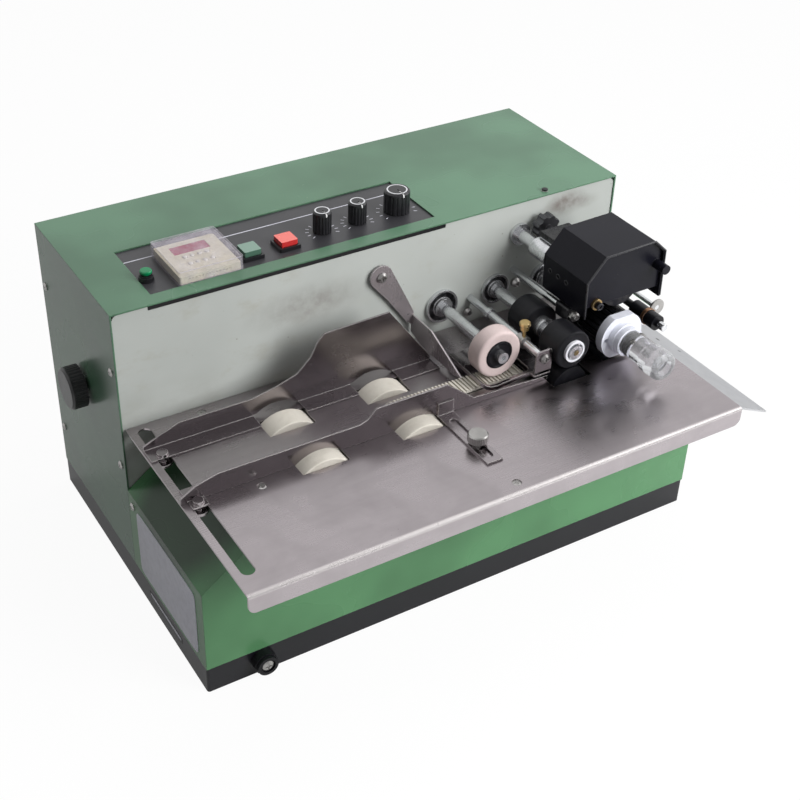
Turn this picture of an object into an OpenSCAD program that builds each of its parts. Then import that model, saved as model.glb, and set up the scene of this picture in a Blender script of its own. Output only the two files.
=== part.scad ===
// Date coding machine for the bench: a friction feeder with a hot ink printing head.
// Sizes are in millimetres, +Z is up, +X is the way the cards travel and +Y is the back.
// The origin is the middle of the base, on the plane that the machine stands on.

/* [Cabinet] */
// Width of the cabinet
cab_w = 430; // [410:1:520]
// Depth of the cabinet behind its front panel
cab_d = 146; // [136:1:180]
// Height of the cabinet
cab_h = 243; // [240:1:292]
// Depth of the lower box in front of the panel
box_d = 128; // [124:1:156]
// Height of the black base tray
tray_h = 22; // [18:1:27]
// Thickness of the painted sheet
sheet = 1.2; // [0.8:0.1:2]
// Thickness of the grey front panel
panel_t = 4; // [3:0.5:6]

/* [Control window] */
// Left edge of the window in the top cover
window_x = 35; // [30:1:60]
// Width of the window
window_w = 231; // [225:1:250]
// Front edge of the window, behind the front panel's face
window_y = 11; // [8:1:14]
// Depth of the window
window_d = 66; // [62:1:72]

/* [Work table] */
// Height of the table's upper face
table_z = 147; // [145:0.5:150]
// Thickness of the stainless table
table_t = 1.5; // [1:0.1:2]
// Reach of the table in front of the panel
table_d = 195.6; // [190:0.5:230]
// Height of the table's front lip
lip_h = 15; // [10:1:22]
// Width of the long guide slot
slot_w = 10; // [8:0.5:12]

/* [Feeding] */
// Radius of the four feed wheels
feed_r = 26; // [24:0.5:27]
// Height that the feed wheels stand over the table
feed_proud = 5; // [3:0.5:6]
// Width of a feed wheel
feed_w = 18; // [12:1:19]
// Width of the ribbed feed belt
belt_w = 16; // [12:1:17]
// Height of the belt's ribs over the table
belt_proud = 3; // [2:0.5:4]
// Pitch of the belt's ribs
rib_pitch = 3; // [2.5:0.1:5]
// Radius of the separating wheel
sep_r = 19.5; // [17:0.5:20]
// Width of the separating wheel
sep_w = 22; // [16:1:22]

/* [Rollers] */
// Radius of the pinch rollers
pinch_r = 15.5; // [14:0.5:16]
// Radius of the driven rollers under the table
transport_r = 16; // [13:0.5:17]
// Radius of the printing drum
drum_r = 17.5; // [16:0.5:18.5]
// Number of type slots round the drum
drum_slots = 24; // [16:1:28]
// Radius of the rubber roller that backs the print
backing_r = 10.5; // [9:0.5:12]
// Radius of the ink roller
ink_r = 18; // [16:0.5:18.5]
// Width of the ink roller
ink_w = 34; // [28:1:36]

/* [Guides] */
// Height of the guides' straight stretch over the table
guide_h = 16; // [10:1:20]
// Thickness of the stainless guides
guide_t = 1.2; // [0.8:0.1:1.5]
// Width of the card channel between the guides
channel_w = 49; // [46:1:50]

/* [Hidden] */
$fn = 48;
// Running clearance of a shaft in its bearing, and the gap between moving faces
run = 0.05;
gap = 0.5;
eps = 0.01;

cover_under = cab_h - sheet;
table_under = table_z - table_t;
table_left = 3;
table_right = cab_w - 25;
card_z = table_z + belt_proud;

// Places along the machine, from its left side
slot_x = 13.8;
feed_x = [cab_w - 323, cab_w - 243];
idler_x = cab_w - 145;
sep_x = cab_w - 161.7;
rod_x = cab_w - 134;
pinch_x = cab_w - 111.6;
pivot_x = cab_w - 91.5;
support_x = cab_w - 94.5;
star_x = cab_w - 73;
print_x = cab_w - 64;
ink_x = print_x + 6;
exit_x = cab_w - 25;
gate_x = cab_w - 218.4;

// Heights over the resting plane
feed_z = table_z + feed_proud - feed_r;
sep_z = card_z + gap + sep_r;
nip_z = table_z + 8.8;
pinch_z = nip_z + pinch_r;
transport_z = nip_z - gap - transport_r;
print_z = card_z + gap + drum_r;
backing_z = card_z - backing_r;
ink_z = print_z + sqrt(pow(drum_r + ink_r + 0.6, 2) - pow(ink_x - print_x, 2));
pivot_z = table_z + 67.8;
support_z = table_z + 36.5;
star_z = table_z + 73.5;
exit_z = table_z + 18;
rod_z = table_z + 21.5;
gate_z = table_z + 66;

// Distances in front of the panel, as negative Y
feed_y = [-49, -98];
belt_y = -74.5;
sep_y = -60;
rear_y = -32;
front_y = rear_y - 14 - channel_w;
front_bearing_y = -110;

shaft_r = 4;
hub_r = 12;
belt_gap = 0.3;
belt_t = 1.8;
rib_h = 1.1;
belt_outer = card_z - feed_z;
belt_pulley_r = belt_outer - belt_gap - belt_t - rib_h;
idler_r = 6.8;
idler_z = card_z - (idler_r + belt_gap + belt_t + rib_h);

// Pulleys behind the panel: two belt planes, each with its width
plane_a = 8;
plane_b = 17;
pulley_w = 6;
drive_r = 10;
feed_pulley_r = 17;
transport_pulley_r = 9;
transport_pulley_b_r = 10;
backing_pulley_r = transport_pulley_b_r * backing_r / transport_r;
exit_r = 6.3;
exit_pulley_r = 5;
print_pulley_r = exit_pulley_r * drum_r / exit_r;
flat_belt_t = 1.5;

wheel_y = 71.5;
wheel_z = 143.2;
wheel_r = 16.5;
output_x = 50;

shoulder_l = 70;
shoulder_r = 36;
shoulder_slope = tan(37);

green = "#5f9470";
black = "#232326";
stainless = "#aaa3a8";
steel = "#c4c6c8";
cream = "#e4dfd0";
rubber = "#2a2a2c";

// Moves a drawing from the cabinet's left side and panel face to the middle of the base
module seat() translate([-cab_w / 2, (box_d - cab_d) / 2, 0]) children();

// Flat outline with round corners, exact arcs
module round_rect(w, h, r) {
    translate([r, 0]) square([w - 2 * r, h]);
    translate([0, r]) square([w, h - 2 * r]);
    for (x = [r, w - r], y = [r, h - r]) translate([x, y]) circle(r);
}

// A slot outline along X, centred
module pill(length, r) {
    square([length - 2 * r, 2 * r], center = true);
    for (s = [-1, 1]) translate([s * (length / 2 - r), 0]) circle(r);
}

// A round bar along -Y from y0 to y1, at x and z
module bar_y(x, z, y0, y1, r) translate([x, y0, z]) rotate([90, 0, 0]) cylinder(h = y0 - y1, r = r);

// Extrudes an outline drawn in X and Z between two places along Y
module slab_y(y0, y1) translate([0, y0, 0]) rotate([90, 0, 0]) linear_extrude(y0 - y1) children();

// Outline of a belt run tight round two circles, each arc in n steps
function arc_points(c, r, from, to, n) = [
    for (i = [0:n]) let(a = from + (to - from) * i / n) c + r * [cos(a), sin(a)]];
function run_points(p, rp, q, rq, n) = let(
    lean = asin((rp - rq) / norm(q - p)), along = atan2(q[1] - p[1], q[0] - p[0]))
    concat(arc_points(p, rp, along + 90 - lean, along + 270 + lean, n),
           arc_points(q, rq, along - 90 + lean, along + 90 - lean, n));

// Closed flat belt round two circles
module belt_loop(p, rp, q, rq, t) difference() {
    polygon(run_points(p, rp + t, q, rq + t, 24));
    polygon(run_points(p, rp, q, rq, 24));
}

// A wheel's edge-rounded section, turned about Y
module tyre(x, z, y0, y1, r, bore, round) {
    translate([x, y0, z]) rotate([90, 0, 0]) rotate_extrude($fn = 72) {
        translate([bore, 0]) square([r - round - bore, y0 - y1]);
        translate([bore, round]) square([r - bore, y0 - y1 - 2 * round]);
        for (h = [round, y0 - y1 - round]) translate([r - round, h]) circle(round, $fn = 24);
    }
}

// The black tray that the whole machine stands on
module base_tray() seat() color(black) difference() {
    translate([0, -box_d, 0]) linear_extrude(tray_h) round_rect(cab_w, box_d + cab_d, 2);
    translate([2, 2 - box_d, 1.5]) linear_extrude(tray_h) round_rect(cab_w - 4, box_d + cab_d - 4, 1);
}

// Rubber bumper on the front of the tray, with a well for its screw
module front_bumper() seat() color(rubber) difference() {
    union() {
        bar_y(43, 13, -box_d, -box_d - 7, 9);
        bar_y(43, 13, -box_d - 7, -box_d - 10, 8);
    }
    bar_y(43, 13, -box_d - 8.5, -box_d - 11, 5.5);
}

// Lower box: front wall, ends and top, with a sloped shoulder at each end
module shoulder_outline(inset) {
    drop = inset / cos(37) - inset * tan(37);
    low = tray_h - (inset > 0 ? 1 : 0);
    polygon([[inset, low], [inset, table_under - shoulder_l * shoulder_slope - drop],
             [shoulder_l + inset * 0.3, table_under - inset],
             [cab_w - shoulder_r - inset * 0.3, table_under - inset],
             [cab_w - inset, table_under - shoulder_r * shoulder_slope - drop], [cab_w - inset, low]]);
}
module lower_box() seat() color(green) difference() {
    slab_y(-1.2, -box_d) shoulder_outline(0);
    slab_y(1, -box_d + sheet) shoulder_outline(sheet);
    translate([shoulder_l + 6, -118, table_under - 5])
        cube([cab_w - shoulder_l - shoulder_r - 10, 120, 10]);
}

// Top and sides of the cabinet in one folded sheet
module cabinet_cover() seat() color(green) difference() {
    translate([0, -1, tray_h]) cube([cab_w, cab_d + 1, cab_h - tray_h]);
    translate([sheet, -2, tray_h - 1]) cube([cab_w - 2 * sheet, cab_d + 4, cover_under - tray_h + 1]);
    translate([window_x, window_y, cover_under - 1]) cube([window_w, window_d, sheet + 2]);
    translate([-1, wheel_y, wheel_z]) rotate([0, 90, 0]) cylinder(h = 5, r = 7);
}

// Back panel with two banks of cooling slots and the hole for the mains inlet
module back_panel() seat() color(green) difference() {
    translate([sheet, cab_d - 1 - sheet, tray_h]) cube([cab_w - 2 * sheet, sheet, cover_under - tray_h]);
    for (bank = [0.28, 0.72], row = [0:6])
        translate([cab_w * bank, cab_d, cab_h - 40 - row * 9]) rotate([90, 0, 0])
            linear_extrude(5) pill(90, 1.6);
    translate([cab_w - 78, cab_d - 5, tray_h + 20]) cube([28, 8, 22]);
}

// Grey panel that carries every shaft
panel_top = cover_under - 0.2;
module front_panel() seat() color("#b4b8b4") difference() {
    slab_y(panel_t, 0) difference() {
        translate([sheet, tray_h]) square([cab_w - 2 * sheet, panel_top - tray_h]);
        for (m = [0, 1]) translate([m * cab_w, 0]) mirror([m, 0]) translate([sheet, panel_top - 6])
            difference() { square([6, 7]); translate([6, 0]) circle(6); }
        translate([28, panel_top - 3]) square([241, 4]);
    }
    for (b = bearings) bar_y(b[0], b[1], panel_t + 1, -1, b[4]);
    for (r = rods) bar_y(r[0], r[1], panel_t + 1, -1, r[2]);
    bar_y(gate_x, gate_z, panel_t + 1, -1, 2);
}

// Every running shaft: place, its radius, and the radii of its flange and its seat in the panel
bearings = [[feed_x[0], feed_z, shaft_r, 11, 8], [feed_x[1], feed_z, shaft_r, 11, 8],
            [idler_x, idler_z, 3, 5.3, 4.6], [sep_x, sep_z, 4.5, 14, 9], [pinch_x, pinch_z, 5, 12.5, 9],
            [pinch_x, transport_z, shaft_r, 6, 5.4], [print_x, print_z, 6, 13, 9],
            [print_x, backing_z, 3.5, 5.8, 5], [exit_x, exit_z, 3, 9.5, 6]];
// Every fixed rod: place, radius and reach in front of the panel
rods = [[rod_x, rod_z, 3.2, 97], [support_x, support_z, 3, 78], [pivot_x, pivot_z, 5, 88],
        [cab_w - 12, table_z + 19, 2, 80]];

module flange_bearings() seat() color(steel) for (b = bearings) difference() {
    union() {
        bar_y(b[0], b[1], panel_t + 1.5, 0, b[4]);
        bar_y(b[0], b[1], 0, -3, b[3]);
        if (b[3] > 9) bar_y(b[0], b[1], -3, -5, b[3] * 0.55);
    }
    if (b[3] > 9) difference() {
        bar_y(b[0], b[1], -2.2, -4, b[3] - 1.5);
        bar_y(b[0], b[1], 0, -6, b[3] * 0.55);
    }
    bar_y(b[0], b[1], panel_t + 3, -7, b[2] + run);
}

// Fixed rods: card guide rod with its collar, head support, head pivot and the washer rod
module panel_rods() seat() color(steel) {
    for (r = rods) bar_y(r[0], r[1], panel_t + 2, -r[3], r[2]);
    bar_y(rod_x, rod_z, -25, -29, 4.4);
    bar_y(pivot_x, pivot_z, 0, -3, 9);
    bar_y(cab_w - 12, table_z + 19, -79, -80.2, 5.7);
}

// Stainless work table with its lip, guide slot, wheel windows and roller windows
window_gap = 1.2;
function half_chord(r, drop) = sqrt(max(0, r * r - drop * drop));
module table_window(x, half, y0, y1)
    translate([x - half, y1, table_under - 1]) cube([2 * half, y0 - y1, table_t + 2]);
module work_table() seat() color(stainless) difference() {
    bend = 2.5;
    union() {
        translate([table_left, bend - table_d, table_under])
            cube([table_right - table_left, table_d - bend - 1.2, table_t]);
        translate([table_left, -table_d, table_z - lip_h])
            cube([table_right - table_left, table_t, lip_h - bend]);
        translate([table_left, bend - table_d, table_z - bend]) rotate([0, 90, 0])
            linear_extrude(table_right - table_left) intersection() {
                difference() { circle(bend); circle(bend - table_t); }
                translate([-bend, -bend]) square(bend);
            }
    }
    for (m = [0, 1]) translate([m ? table_right : table_left, 1 - table_d + table_t, table_z - lip_h])
        mirror([m, 0, 0]) slab_y(1, -4) translate([-eps, -eps]) difference() {
            square(6);
            translate([6, 6]) circle(6);
        }
    translate([slot_x, -92, table_under - 1]) rotate(90) linear_extrude(table_t + 2) pill(172, slot_w / 2);
    for (x = feed_x, y = feed_y)
        table_window(x, half_chord(feed_r, table_under - feed_z) + window_gap,
                     y + feed_w / 2 + 1, y - feed_w / 2 - 1);
    belt_left = feed_x[1] - half_chord(belt_outer, table_under - feed_z) - window_gap;
    belt_right = idler_x + half_chord(idler_r + belt_gap + belt_t + rib_h, table_under - idler_z) + window_gap;
    table_window((belt_left + belt_right) / 2, (belt_right - belt_left) / 2,
                 belt_y + belt_w / 2 + 1, belt_y - belt_w / 2 - 1);
    table_window(pinch_x, half_chord(transport_r, table_under - transport_z) + 3, -37, -107);
    table_window(print_x, half_chord(backing_r, table_under - backing_z) + 3, -50, -97);
    for (p = table_screws) translate([p[0], p[1], 0]) {
        translate([0, 0, table_under - 1]) cylinder(h = table_t + 2, r = 1.6);
        translate([0, 0, table_z - 1]) cylinder(h = 2, r = 3.45);
    }
    translate([thumb_x, thumb_y, table_under - 1]) cylinder(h = table_t + 2, r = 2.5 + run);
}
table_screws = [[59, -8], [59, -104.2], [cab_w - 219, -185]];
thumb_x = cab_w - 219.5;
thumb_y = -138;

// Sloped sheet that the printed cards slide off
module delivery_chute() seat() color("#b3b3b8") slab_y(-60, 0.3 + table_t - table_d) polygon([
    [table_right - 8, table_under], [table_right - 8, table_under - sheet],
    [table_right + 0.5, table_under - sheet], [table_right + 28, table_z - 15.2],
    [table_right + 28.6, table_z - 14.1], [table_right + 0.9, table_under]]);

// Black plate under the window, drilled for the controls
control_z = cover_under;
counter_x = window_x + 22;
counter_y = window_y + 1;
counter_s = 50;
zero_pos = [window_x + 6, window_y + 21];
start_pos = [window_x + 84, window_y + 17];
stop_pos = [window_x + 113.5, window_y + 17];
knob_pos = [[window_x + 147, window_y + 23], [window_x + 177, window_y + 23],
            [window_x + 212, window_y + 24]];
module control_panel() seat() color(black) translate([0, 0, control_z - 2]) difference() {
    translate([window_x - 5, window_y - 5, 0]) cube([window_w + 10, window_d + 10, 2]);
    translate([counter_x + 3, counter_y + 3, -1]) cube([counter_s - 6, counter_s - 6, 4]);
    translate([zero_pos[0], zero_pos[1], -1]) cylinder(h = 4, r = 3.2);
    for (p = [start_pos, stop_pos]) translate([p[0] - 6.5, p[1] - 6.5, -1]) cube([13, 13, 4]);
    for (p = knob_pos) translate([p[0], p[1], -1]) cylinder(h = 4, r = 3 + run);
}

// Preset counter: its bezel stands on the plate and its case hangs through it
counter_rise = 6;
counter_top = control_z + counter_rise;
key_pitch = 5.8;
key_rows = [16.5, 26.5];
module counter_body() seat() color(cream) difference() {
    union() {
        translate([counter_x + 1.5, counter_y + 1.5, control_z]) linear_extrude(counter_rise)
            round_rect(counter_s - 3, counter_s - 3, 1.5);
        translate([counter_x + 3, counter_y + 3, control_z - 50]) cube([counter_s - 6, counter_s - 6, 50]);
    }
    translate([counter_x + 11, counter_y + 31.5, counter_top - 1]) cube([28, 11.5, 2]);
    for (i = [0:3], y = key_rows)
        translate([counter_x + 16.5 + key_pitch * i, counter_y + y, counter_top - 1.4]) cylinder(h = 2, r = 2);
    for (i = [0:12]) translate([counter_x + 8 + 2.6 * i, counter_y + 1, control_z + 3]) cube([1.2, 1.3, 1]);
}
module counter_window() seat() color("#a04555")
    translate([counter_x + 11, counter_y + 31.5, counter_top - 1]) cube([28, 11.5, 0.8]);

// Rubber keypad: domes that stand through the bezel, in two rows
module counter_keypad() seat() color("#efe9da") for (i = [0:3], y = key_rows)
    translate([counter_x + 16.5 + key_pitch * i, counter_y + y, counter_top - 1.4]) {
        cylinder(h = 1.6, r = 1.7);
        translate([0, 0, 1.6]) cylinder(h = 0.5, r1 = 1.7, r2 = 1.2);
    }

// Clear box cover over the counter, hinged at its back edge
cover_rise = 11.2;
module counter_cover() seat() color([0.8, 0.85, 0.9, 0.4]) difference() {
    translate([counter_x, counter_y, control_z + 0.1]) linear_extrude(cover_rise - 0.1)
        round_rect(counter_s, counter_s, 2);
    translate([counter_x + 1, counter_y + 1, control_z - 1]) linear_extrude(cover_rise)
        round_rect(counter_s - 2, counter_s - 2, 1);
    translate([counter_x - 1, counter_y + counter_s - 3, control_z - 1]) cube([counter_s + 2, 4, 2.4]);
}

// Bezels of the three push buttons
module switch_bezels() seat() color(black) {
    translate([zero_pos[0], zero_pos[1], control_z]) difference() {
        union() { cylinder(h = 3.6, r = 5.6); cylinder(h = 5, r = 5); }
        translate([0, 0, -1]) cylinder(h = 8, r = 3.2);
    }
    for (p = [start_pos, stop_pos]) translate([p[0], p[1], control_z]) difference() {
        translate([-8.6, -8.6, 0]) linear_extrude(3) round_rect(17.2, 17.2, 1.2);
        translate([-6.9, -6.9, -1]) cube([13.8, 13.8, 6]);
    }
}
module zero_button() seat() color("#159a52") translate([zero_pos[0], zero_pos[1], control_z]) {
    translate([0, 0, -8]) cylinder(h = 14.5, r = 2.9);
    translate([0, 0, 6.2]) cylinder(h = 1.4, r = 4.4);
    translate([0, 0, 7.6]) cylinder(h = 0.6, r1 = 4.4, r2 = 3.8);
}
module square_button(p, shade) seat() color(shade) translate([p[0], p[1], 0]) {
    translate([-6.2, -6.2, control_z - 8]) cube([12.4, 12.4, 11]);
    translate([-6.6, -6.6, control_z + 3.6]) linear_extrude(3.4) round_rect(13.2, 13.2, 0.8);
    translate([-6.2, -6.2, control_z + 3 - eps]) cube([12.4, 12.4, 0.7]);
}
module start_button() square_button(start_pos, "#6c9c84");
module stop_button() square_button(stop_pos, "#e8675e");

// Fluted control knob on its own spindle
module control_knob(p, r, h) seat() color(black) translate([p[0], p[1], 0]) {
    translate([0, 0, control_z - 12]) cylinder(h = 12 + 1, r = 3);
    translate([0, 0, control_z + 0.5]) difference() {
        union() {
            cylinder(h = h - 1.2, r = r);
            translate([0, 0, h - 1.2]) cylinder(h = 1.2, r1 = r, r2 = r - 1);
        }
        for (a = [0:20:340])
            rotate(a) translate([r + 0.35, 0, -1]) cylinder(h = h - 1.5, r = 0.9, $fn = 16);
        translate([-0.4, -r - 1, h - 0.7]) cube([0.8, r + 0.5, 1]);
    }
}
module speed_knob() control_knob(knob_pos[0], 7, 17);
module heat_knob() control_knob(knob_pos[1], 7, 17);
module delay_knob() control_knob(knob_pos[2], 10, 17.5);

// Mains inlet in the back panel
module power_inlet() seat() color(black) difference() {
    union() {
        translate([cab_w - 84, cab_d - 1, tray_h + 16]) cube([40, 2.5, 30]);
        translate([cab_w - 78, cab_d - 22, tray_h + 20]) cube([28, 21.5, 22]);
    }
    translate([cab_w - 76, cab_d - 14, tray_h + 22]) cube([24, 18, 18]);
}

// Right-angle gearbox with its motor, on a bracket that stands in the tray
gearbox = [50, 52, 50];
module gear_motor() seat() color("#8d9196") difference() {
    union() {
        translate([output_x - 25, wheel_y - 26, wheel_z - 25]) cube(gearbox);
        translate([output_x + 25, wheel_y, wheel_z]) rotate([0, 90, 0]) cylinder(h = 80, r = 27);
        translate([output_x + 105, wheel_y, wheel_z]) rotate([0, 90, 0]) cylinder(h = 8, r = 24);
        translate([output_x - 25, wheel_y - 26, 1.5]) cube([50, 4, wheel_z - 20]);
        translate([output_x - 25, wheel_y - 26, 1.5]) cube([50, 52, 4]);
    }
    translate([output_x - 30, wheel_y, wheel_z]) rotate([0, 90, 0]) cylinder(h = 25, r = shaft_r + run);
    bar_y(output_x, wheel_z, wheel_y - 10, wheel_y - 30, shaft_r + run);
}

// Output shaft of the gearbox with its belt pulley
module pulley(x, z, y, r) {
    bar_y(x, z, y + pulley_w, y, r);
    for (s = [-1.2, pulley_w]) bar_y(x, z, y + s + 1.2, y + s, r + 1.5);
}
module output_pulley() seat() color(steel) {
    bar_y(output_x, wheel_z, wheel_y - 12, plane_a - 1.2, shaft_r);
    pulley(output_x, wheel_z, plane_a, drive_r);
}

// Control board on its posts with the transformer beside it
module control_board() seat() {
    color("#2f6b45") translate([cab_w - 190, cab_d - 24, 40]) cube([110, 1.6, 90]);
    for (x = [cab_w - 186, cab_w - 88], z = [44, 122])
        color("silver") bar_y(x, z, cab_d - 1 - sheet, cab_d - 22.4, 2.5);
    color("#6b4a35") translate([cab_w - 200, 40, 1.5]) cube([60, 50, 52]);
    color("silver") translate([cab_w - 208, 46, 1.5]) cube([8, 38, 12]);
}

// Flat belts behind the panel
module timing_belts() seat() color("#1d1d1f") {
    c = belt_gap;
    slab_y(plane_a + pulley_w - 0.4, plane_a + 0.4)
        belt_loop([output_x, wheel_z], drive_r + c, [feed_x[0], feed_z], feed_pulley_r + c, flat_belt_t);
    slab_y(plane_b + pulley_w - 0.4, plane_b + 0.4)
        belt_loop([feed_x[0], feed_z], feed_pulley_r + c,
                  [feed_x[1], feed_z], feed_pulley_r + c, flat_belt_t);
    slab_y(plane_a + pulley_w - 0.4, plane_a + 0.4)
        belt_loop([feed_x[1], feed_z], feed_pulley_r + c,
                  [pinch_x, transport_z], transport_pulley_r + c, flat_belt_t);
    slab_y(plane_b + pulley_w - 0.4, plane_b + 0.4)
        belt_loop([pinch_x, transport_z], transport_pulley_b_r + c,
                  [print_x, backing_z], backing_pulley_r + c, flat_belt_t);
    slab_y(plane_b + pulley_w - 0.4, plane_b + 0.4)
        belt_loop([print_x, print_z], print_pulley_r + c, [exit_x, exit_z], exit_pulley_r + c, flat_belt_t);
}

// Ribbed feed belt: a smooth band with ribs all along its outside
module belt_rib(place, turn) translate([place[0], belt_y + belt_w / 2, place[1]]) rotate([0, -turn, 0])
    translate([-rib_pitch / 4, -belt_w, -rib_h]) cube([rib_pitch / 2, belt_w, 2 * rib_h]);
module feed_belt() seat() color(cream) {
    p = [feed_x[1], feed_z];
    q = [idler_x, idler_z];
    rp = belt_pulley_r + belt_gap;
    rq = idler_r + belt_gap;
    slab_y(belt_y + belt_w / 2, belt_y - belt_w / 2) belt_loop(p, rp, q, rq, belt_t);
    d = norm(q - p);
    lean = asin((rp - rq) / d);
    along = atan2(q[1] - p[1], q[0] - p[0]);
    count = floor(d * cos(lean) / rib_pitch);
    for (side = [-1, 1], i = [0:count - 1]) {
        face = along + side * (90 - lean);
        way = face - side * 90;
        place = p + (rp + belt_t) * [cos(face), sin(face)] + (i + 0.5) * rib_pitch * [cos(way), sin(way)];
        belt_rib(place, way);
    }
    for (end = [[p, rp + belt_t, along + 90 - lean, 180 + 2 * lean],
                [q, rq + belt_t, along - 90 + lean, 180 - 2 * lean]]) {
        steps = floor(end[3] * PI / 180 * end[1] / rib_pitch);
        for (i = [0:steps - 1]) {
            face = end[2] + (i + 0.5) * end[3] / steps;
            belt_rib(end[0] + end[1] * [cos(face), sin(face)], face - 90);
        }
    }
}

// Long bearing plate under the table, in front of the wheels
module shaft_bracket() seat() color(steel) difference() {
    union() {
        slab_y(front_bearing_y, front_bearing_y - 3)
            translate([feed_x[0] - 16, feed_z - 12])
                square([print_x - feed_x[0] + 30, table_under - feed_z + 12]);
        translate([feed_x[0] - 16, front_bearing_y - 8, table_under - 2])
            cube([print_x - feed_x[0] + 30, 6, 2]);
    }
    for (b = lower_shafts) bar_y(b[0], b[1], front_bearing_y + 1, front_bearing_y - 4, b[2] + run);
}
lower_shafts = [[feed_x[0], feed_z, shaft_r], [feed_x[1], feed_z, shaft_r], [idler_x, idler_z, 3],
                [pinch_x, transport_z, shaft_r], [print_x, backing_z, 3.5]];

// A screw's domed head with a cross recess, facing along -Y
module screw_head(r, h) difference() {
    rotate([90, 0, 0]) {
        cylinder(h = h * 0.45, r = r);
        translate([0, 0, h * 0.45]) cylinder(h = h * 0.55, r1 = r, r2 = r * 0.6);
    }
    for (a = [0, 90])
        translate([0, -h, 0]) rotate([0, a, 0]) cube([r * 1.1, h * 0.9, r * 0.26], center = true);
}
module screws() seat() color(steel) {
    // gate screw, which is the gate's pivot, and the ear screw on the guide rod
    translate([gate_x, -3.7, gate_z]) screw_head(4.2, 2.6);
    bar_y(gate_x, gate_z, panel_t + 2, -3.7, 2);
    translate([rod_x, -98.2, rod_z]) screw_head(4, 2.4);
    // table screws and the bumper's screw
    for (p = table_screws) translate([p[0], p[1], table_z - 1]) {
        rotate([-90, 0, 0]) screw_head(3.4, 1);
        translate([0, 0, -6]) cylinder(h = 6, r = 1.6);
    }
    translate([43, -box_d - 8.5, 13]) screw_head(4.4, 1.6);
    // cover screws on both sides, and the small one on the top
    for (m = [0, 1], z = [111, 192.5])
        translate([m * cab_w, 7, z]) rotate([0, 0, m ? 90 : -90]) screw_head(3.2, 1.6);
    for (m = [0, 1]) translate([m * cab_w, -9, 83]) rotate([0, 0, m ? 90 : -90]) screw_head(3.2, 1.6);
    for (m = [0, 1], z = [60, 192.5])
        translate([m * cab_w, cab_d - 8, z]) rotate([0, 0, m ? 90 : -90]) screw_head(3.2, 1.6);
    translate([cab_w - 66, 5, cab_h]) rotate([-90, 0, 0]) screw_head(2.6, 1);
    // acorn nut on the support rod, and two bolts in the panel
    bar_y(support_x, support_z, -78, -81, 4.6, $fn = 6);
    translate([support_x, -81, support_z]) screw_head(3.6, 2.4);
    translate([pivot_x, 0, table_z + 24]) screw_head(4, 5);
    translate([rod_x - 2.5, 0, table_z + 10]) screw_head(3.6, 4.5);
}

// Handwheel with a knurled rim, and the shaft that turns the gearbox
module handwheel() seat() color(black) translate([0, wheel_y, wheel_z]) rotate([0, -90, 0]) {
    difference() {
        translate([0, 0, 2.5]) union() {
            cylinder(h = 11, r = wheel_r);
            translate([0, 0, 11]) cylinder(h = 1.6, r1 = wheel_r, r2 = wheel_r - 1.6);
        }
        for (a = [0:10:350])
            rotate(a) translate([wheel_r + 0.45, 0, 1]) cylinder(h = 11.4, r = 1, $fn = 12);
    }
    translate([0, 0, 1.7]) cylinder(h = 1, r = 7);
    translate([0, 0, -40]) cylinder(h = 42, r = shaft_r);
}

// Room left round the feed wheels where they stand through a guide
arch_gap = 2;

// Rear guide: one bent stainless sheet, its tall leaf steadies the pack of cards
module rear_guide() seat() color(stainless) {
    foot_z = table_z + 0.15;
    leaf_right = gate_x - 10;
    arch = half_chord(feed_r + arch_gap, foot_z - feed_z);
    difference() {
        union() {
            translate([4, rear_y - 14, foot_z]) cube([leaf_x - 5, 14, guide_t]);
            slab_y(rear_y + guide_t, rear_y) difference() {
                polygon([[4, foot_z], [4, table_z + 4.5], [17, table_z + 10.4], [32, table_z + guide_h],
                         [cab_w - 342, table_z + guide_h], [cab_w - 322, table_z + 20],
                         [cab_w - 305, table_z + 25.5], [cab_w - 294, table_z + 36],
                         [cab_w - 288, table_z + 48], [cab_w - 283, table_z + 53],
                         [leaf_right, table_z + 54.5], [leaf_x - 1, table_z + 4], [leaf_x - 1, foot_z]]);
                for (x = feed_x) translate([x, feed_z]) circle(feed_r + arch_gap);
            }
        }
        for (x = feed_x) translate([x - arch, rear_y - 15, foot_z - 1]) cube([2 * arch, 16, 3]);
        translate([slot_x, rear_y - 10, foot_z - 1]) cylinder(h = 4, r = 2.6);
    }
    translate([slot_x, rear_y - 10, 0]) {
        translate([0, 0, table_under - 3]) cylinder(h = 6, r = 2.5);
        translate([0, 0, foot_z + guide_t]) cylinder(h = 2.4, r = 4);
        translate([0, 0, table_under - 4]) cylinder(h = 2, r = 7);
    }
}

// Front guide: upright strip with a raised middle and arches over the feed wheels
module front_guide() seat() color(stainless) {
    foot_z = table_z + 0.15;
    slab_y(front_y, front_y - guide_t) difference() {
        polygon([[3, foot_z], [3, table_z + 4.6], [14, table_z + 11.5], [31, table_z + guide_h],
                 [cab_w - 290, table_z + guide_h], [cab_w - 284, table_z + 18],
                 [cab_w - 277, table_z + 25.5],
                 [cab_w - 218, table_z + 25.5], [cab_w - 194, table_z + 6], [cab_w - 128, table_z + 3.2],
                 [cab_w - 128, foot_z]]);
        for (x = feed_x) translate([x, feed_z]) circle(feed_r + arch_gap);
    }
    difference() {
        translate([slot_x - 6, front_y - 10, foot_z]) cube([12, 22, guide_t]);
        translate([slot_x, front_y - 5.5, foot_z - 1]) cylinder(h = 4, r = 2.6);
    }
    translate([slot_x, front_y - 5.5, 0]) {
        translate([0, 0, table_under - 3]) cylinder(h = 6, r = 2.5);
        translate([0, 0, foot_z + guide_t]) cylinder(h = 2.4, r = 3.9);
        translate([0, 0, table_under - 4]) cylinder(h = 2, r = 7);
    }
}

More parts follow.
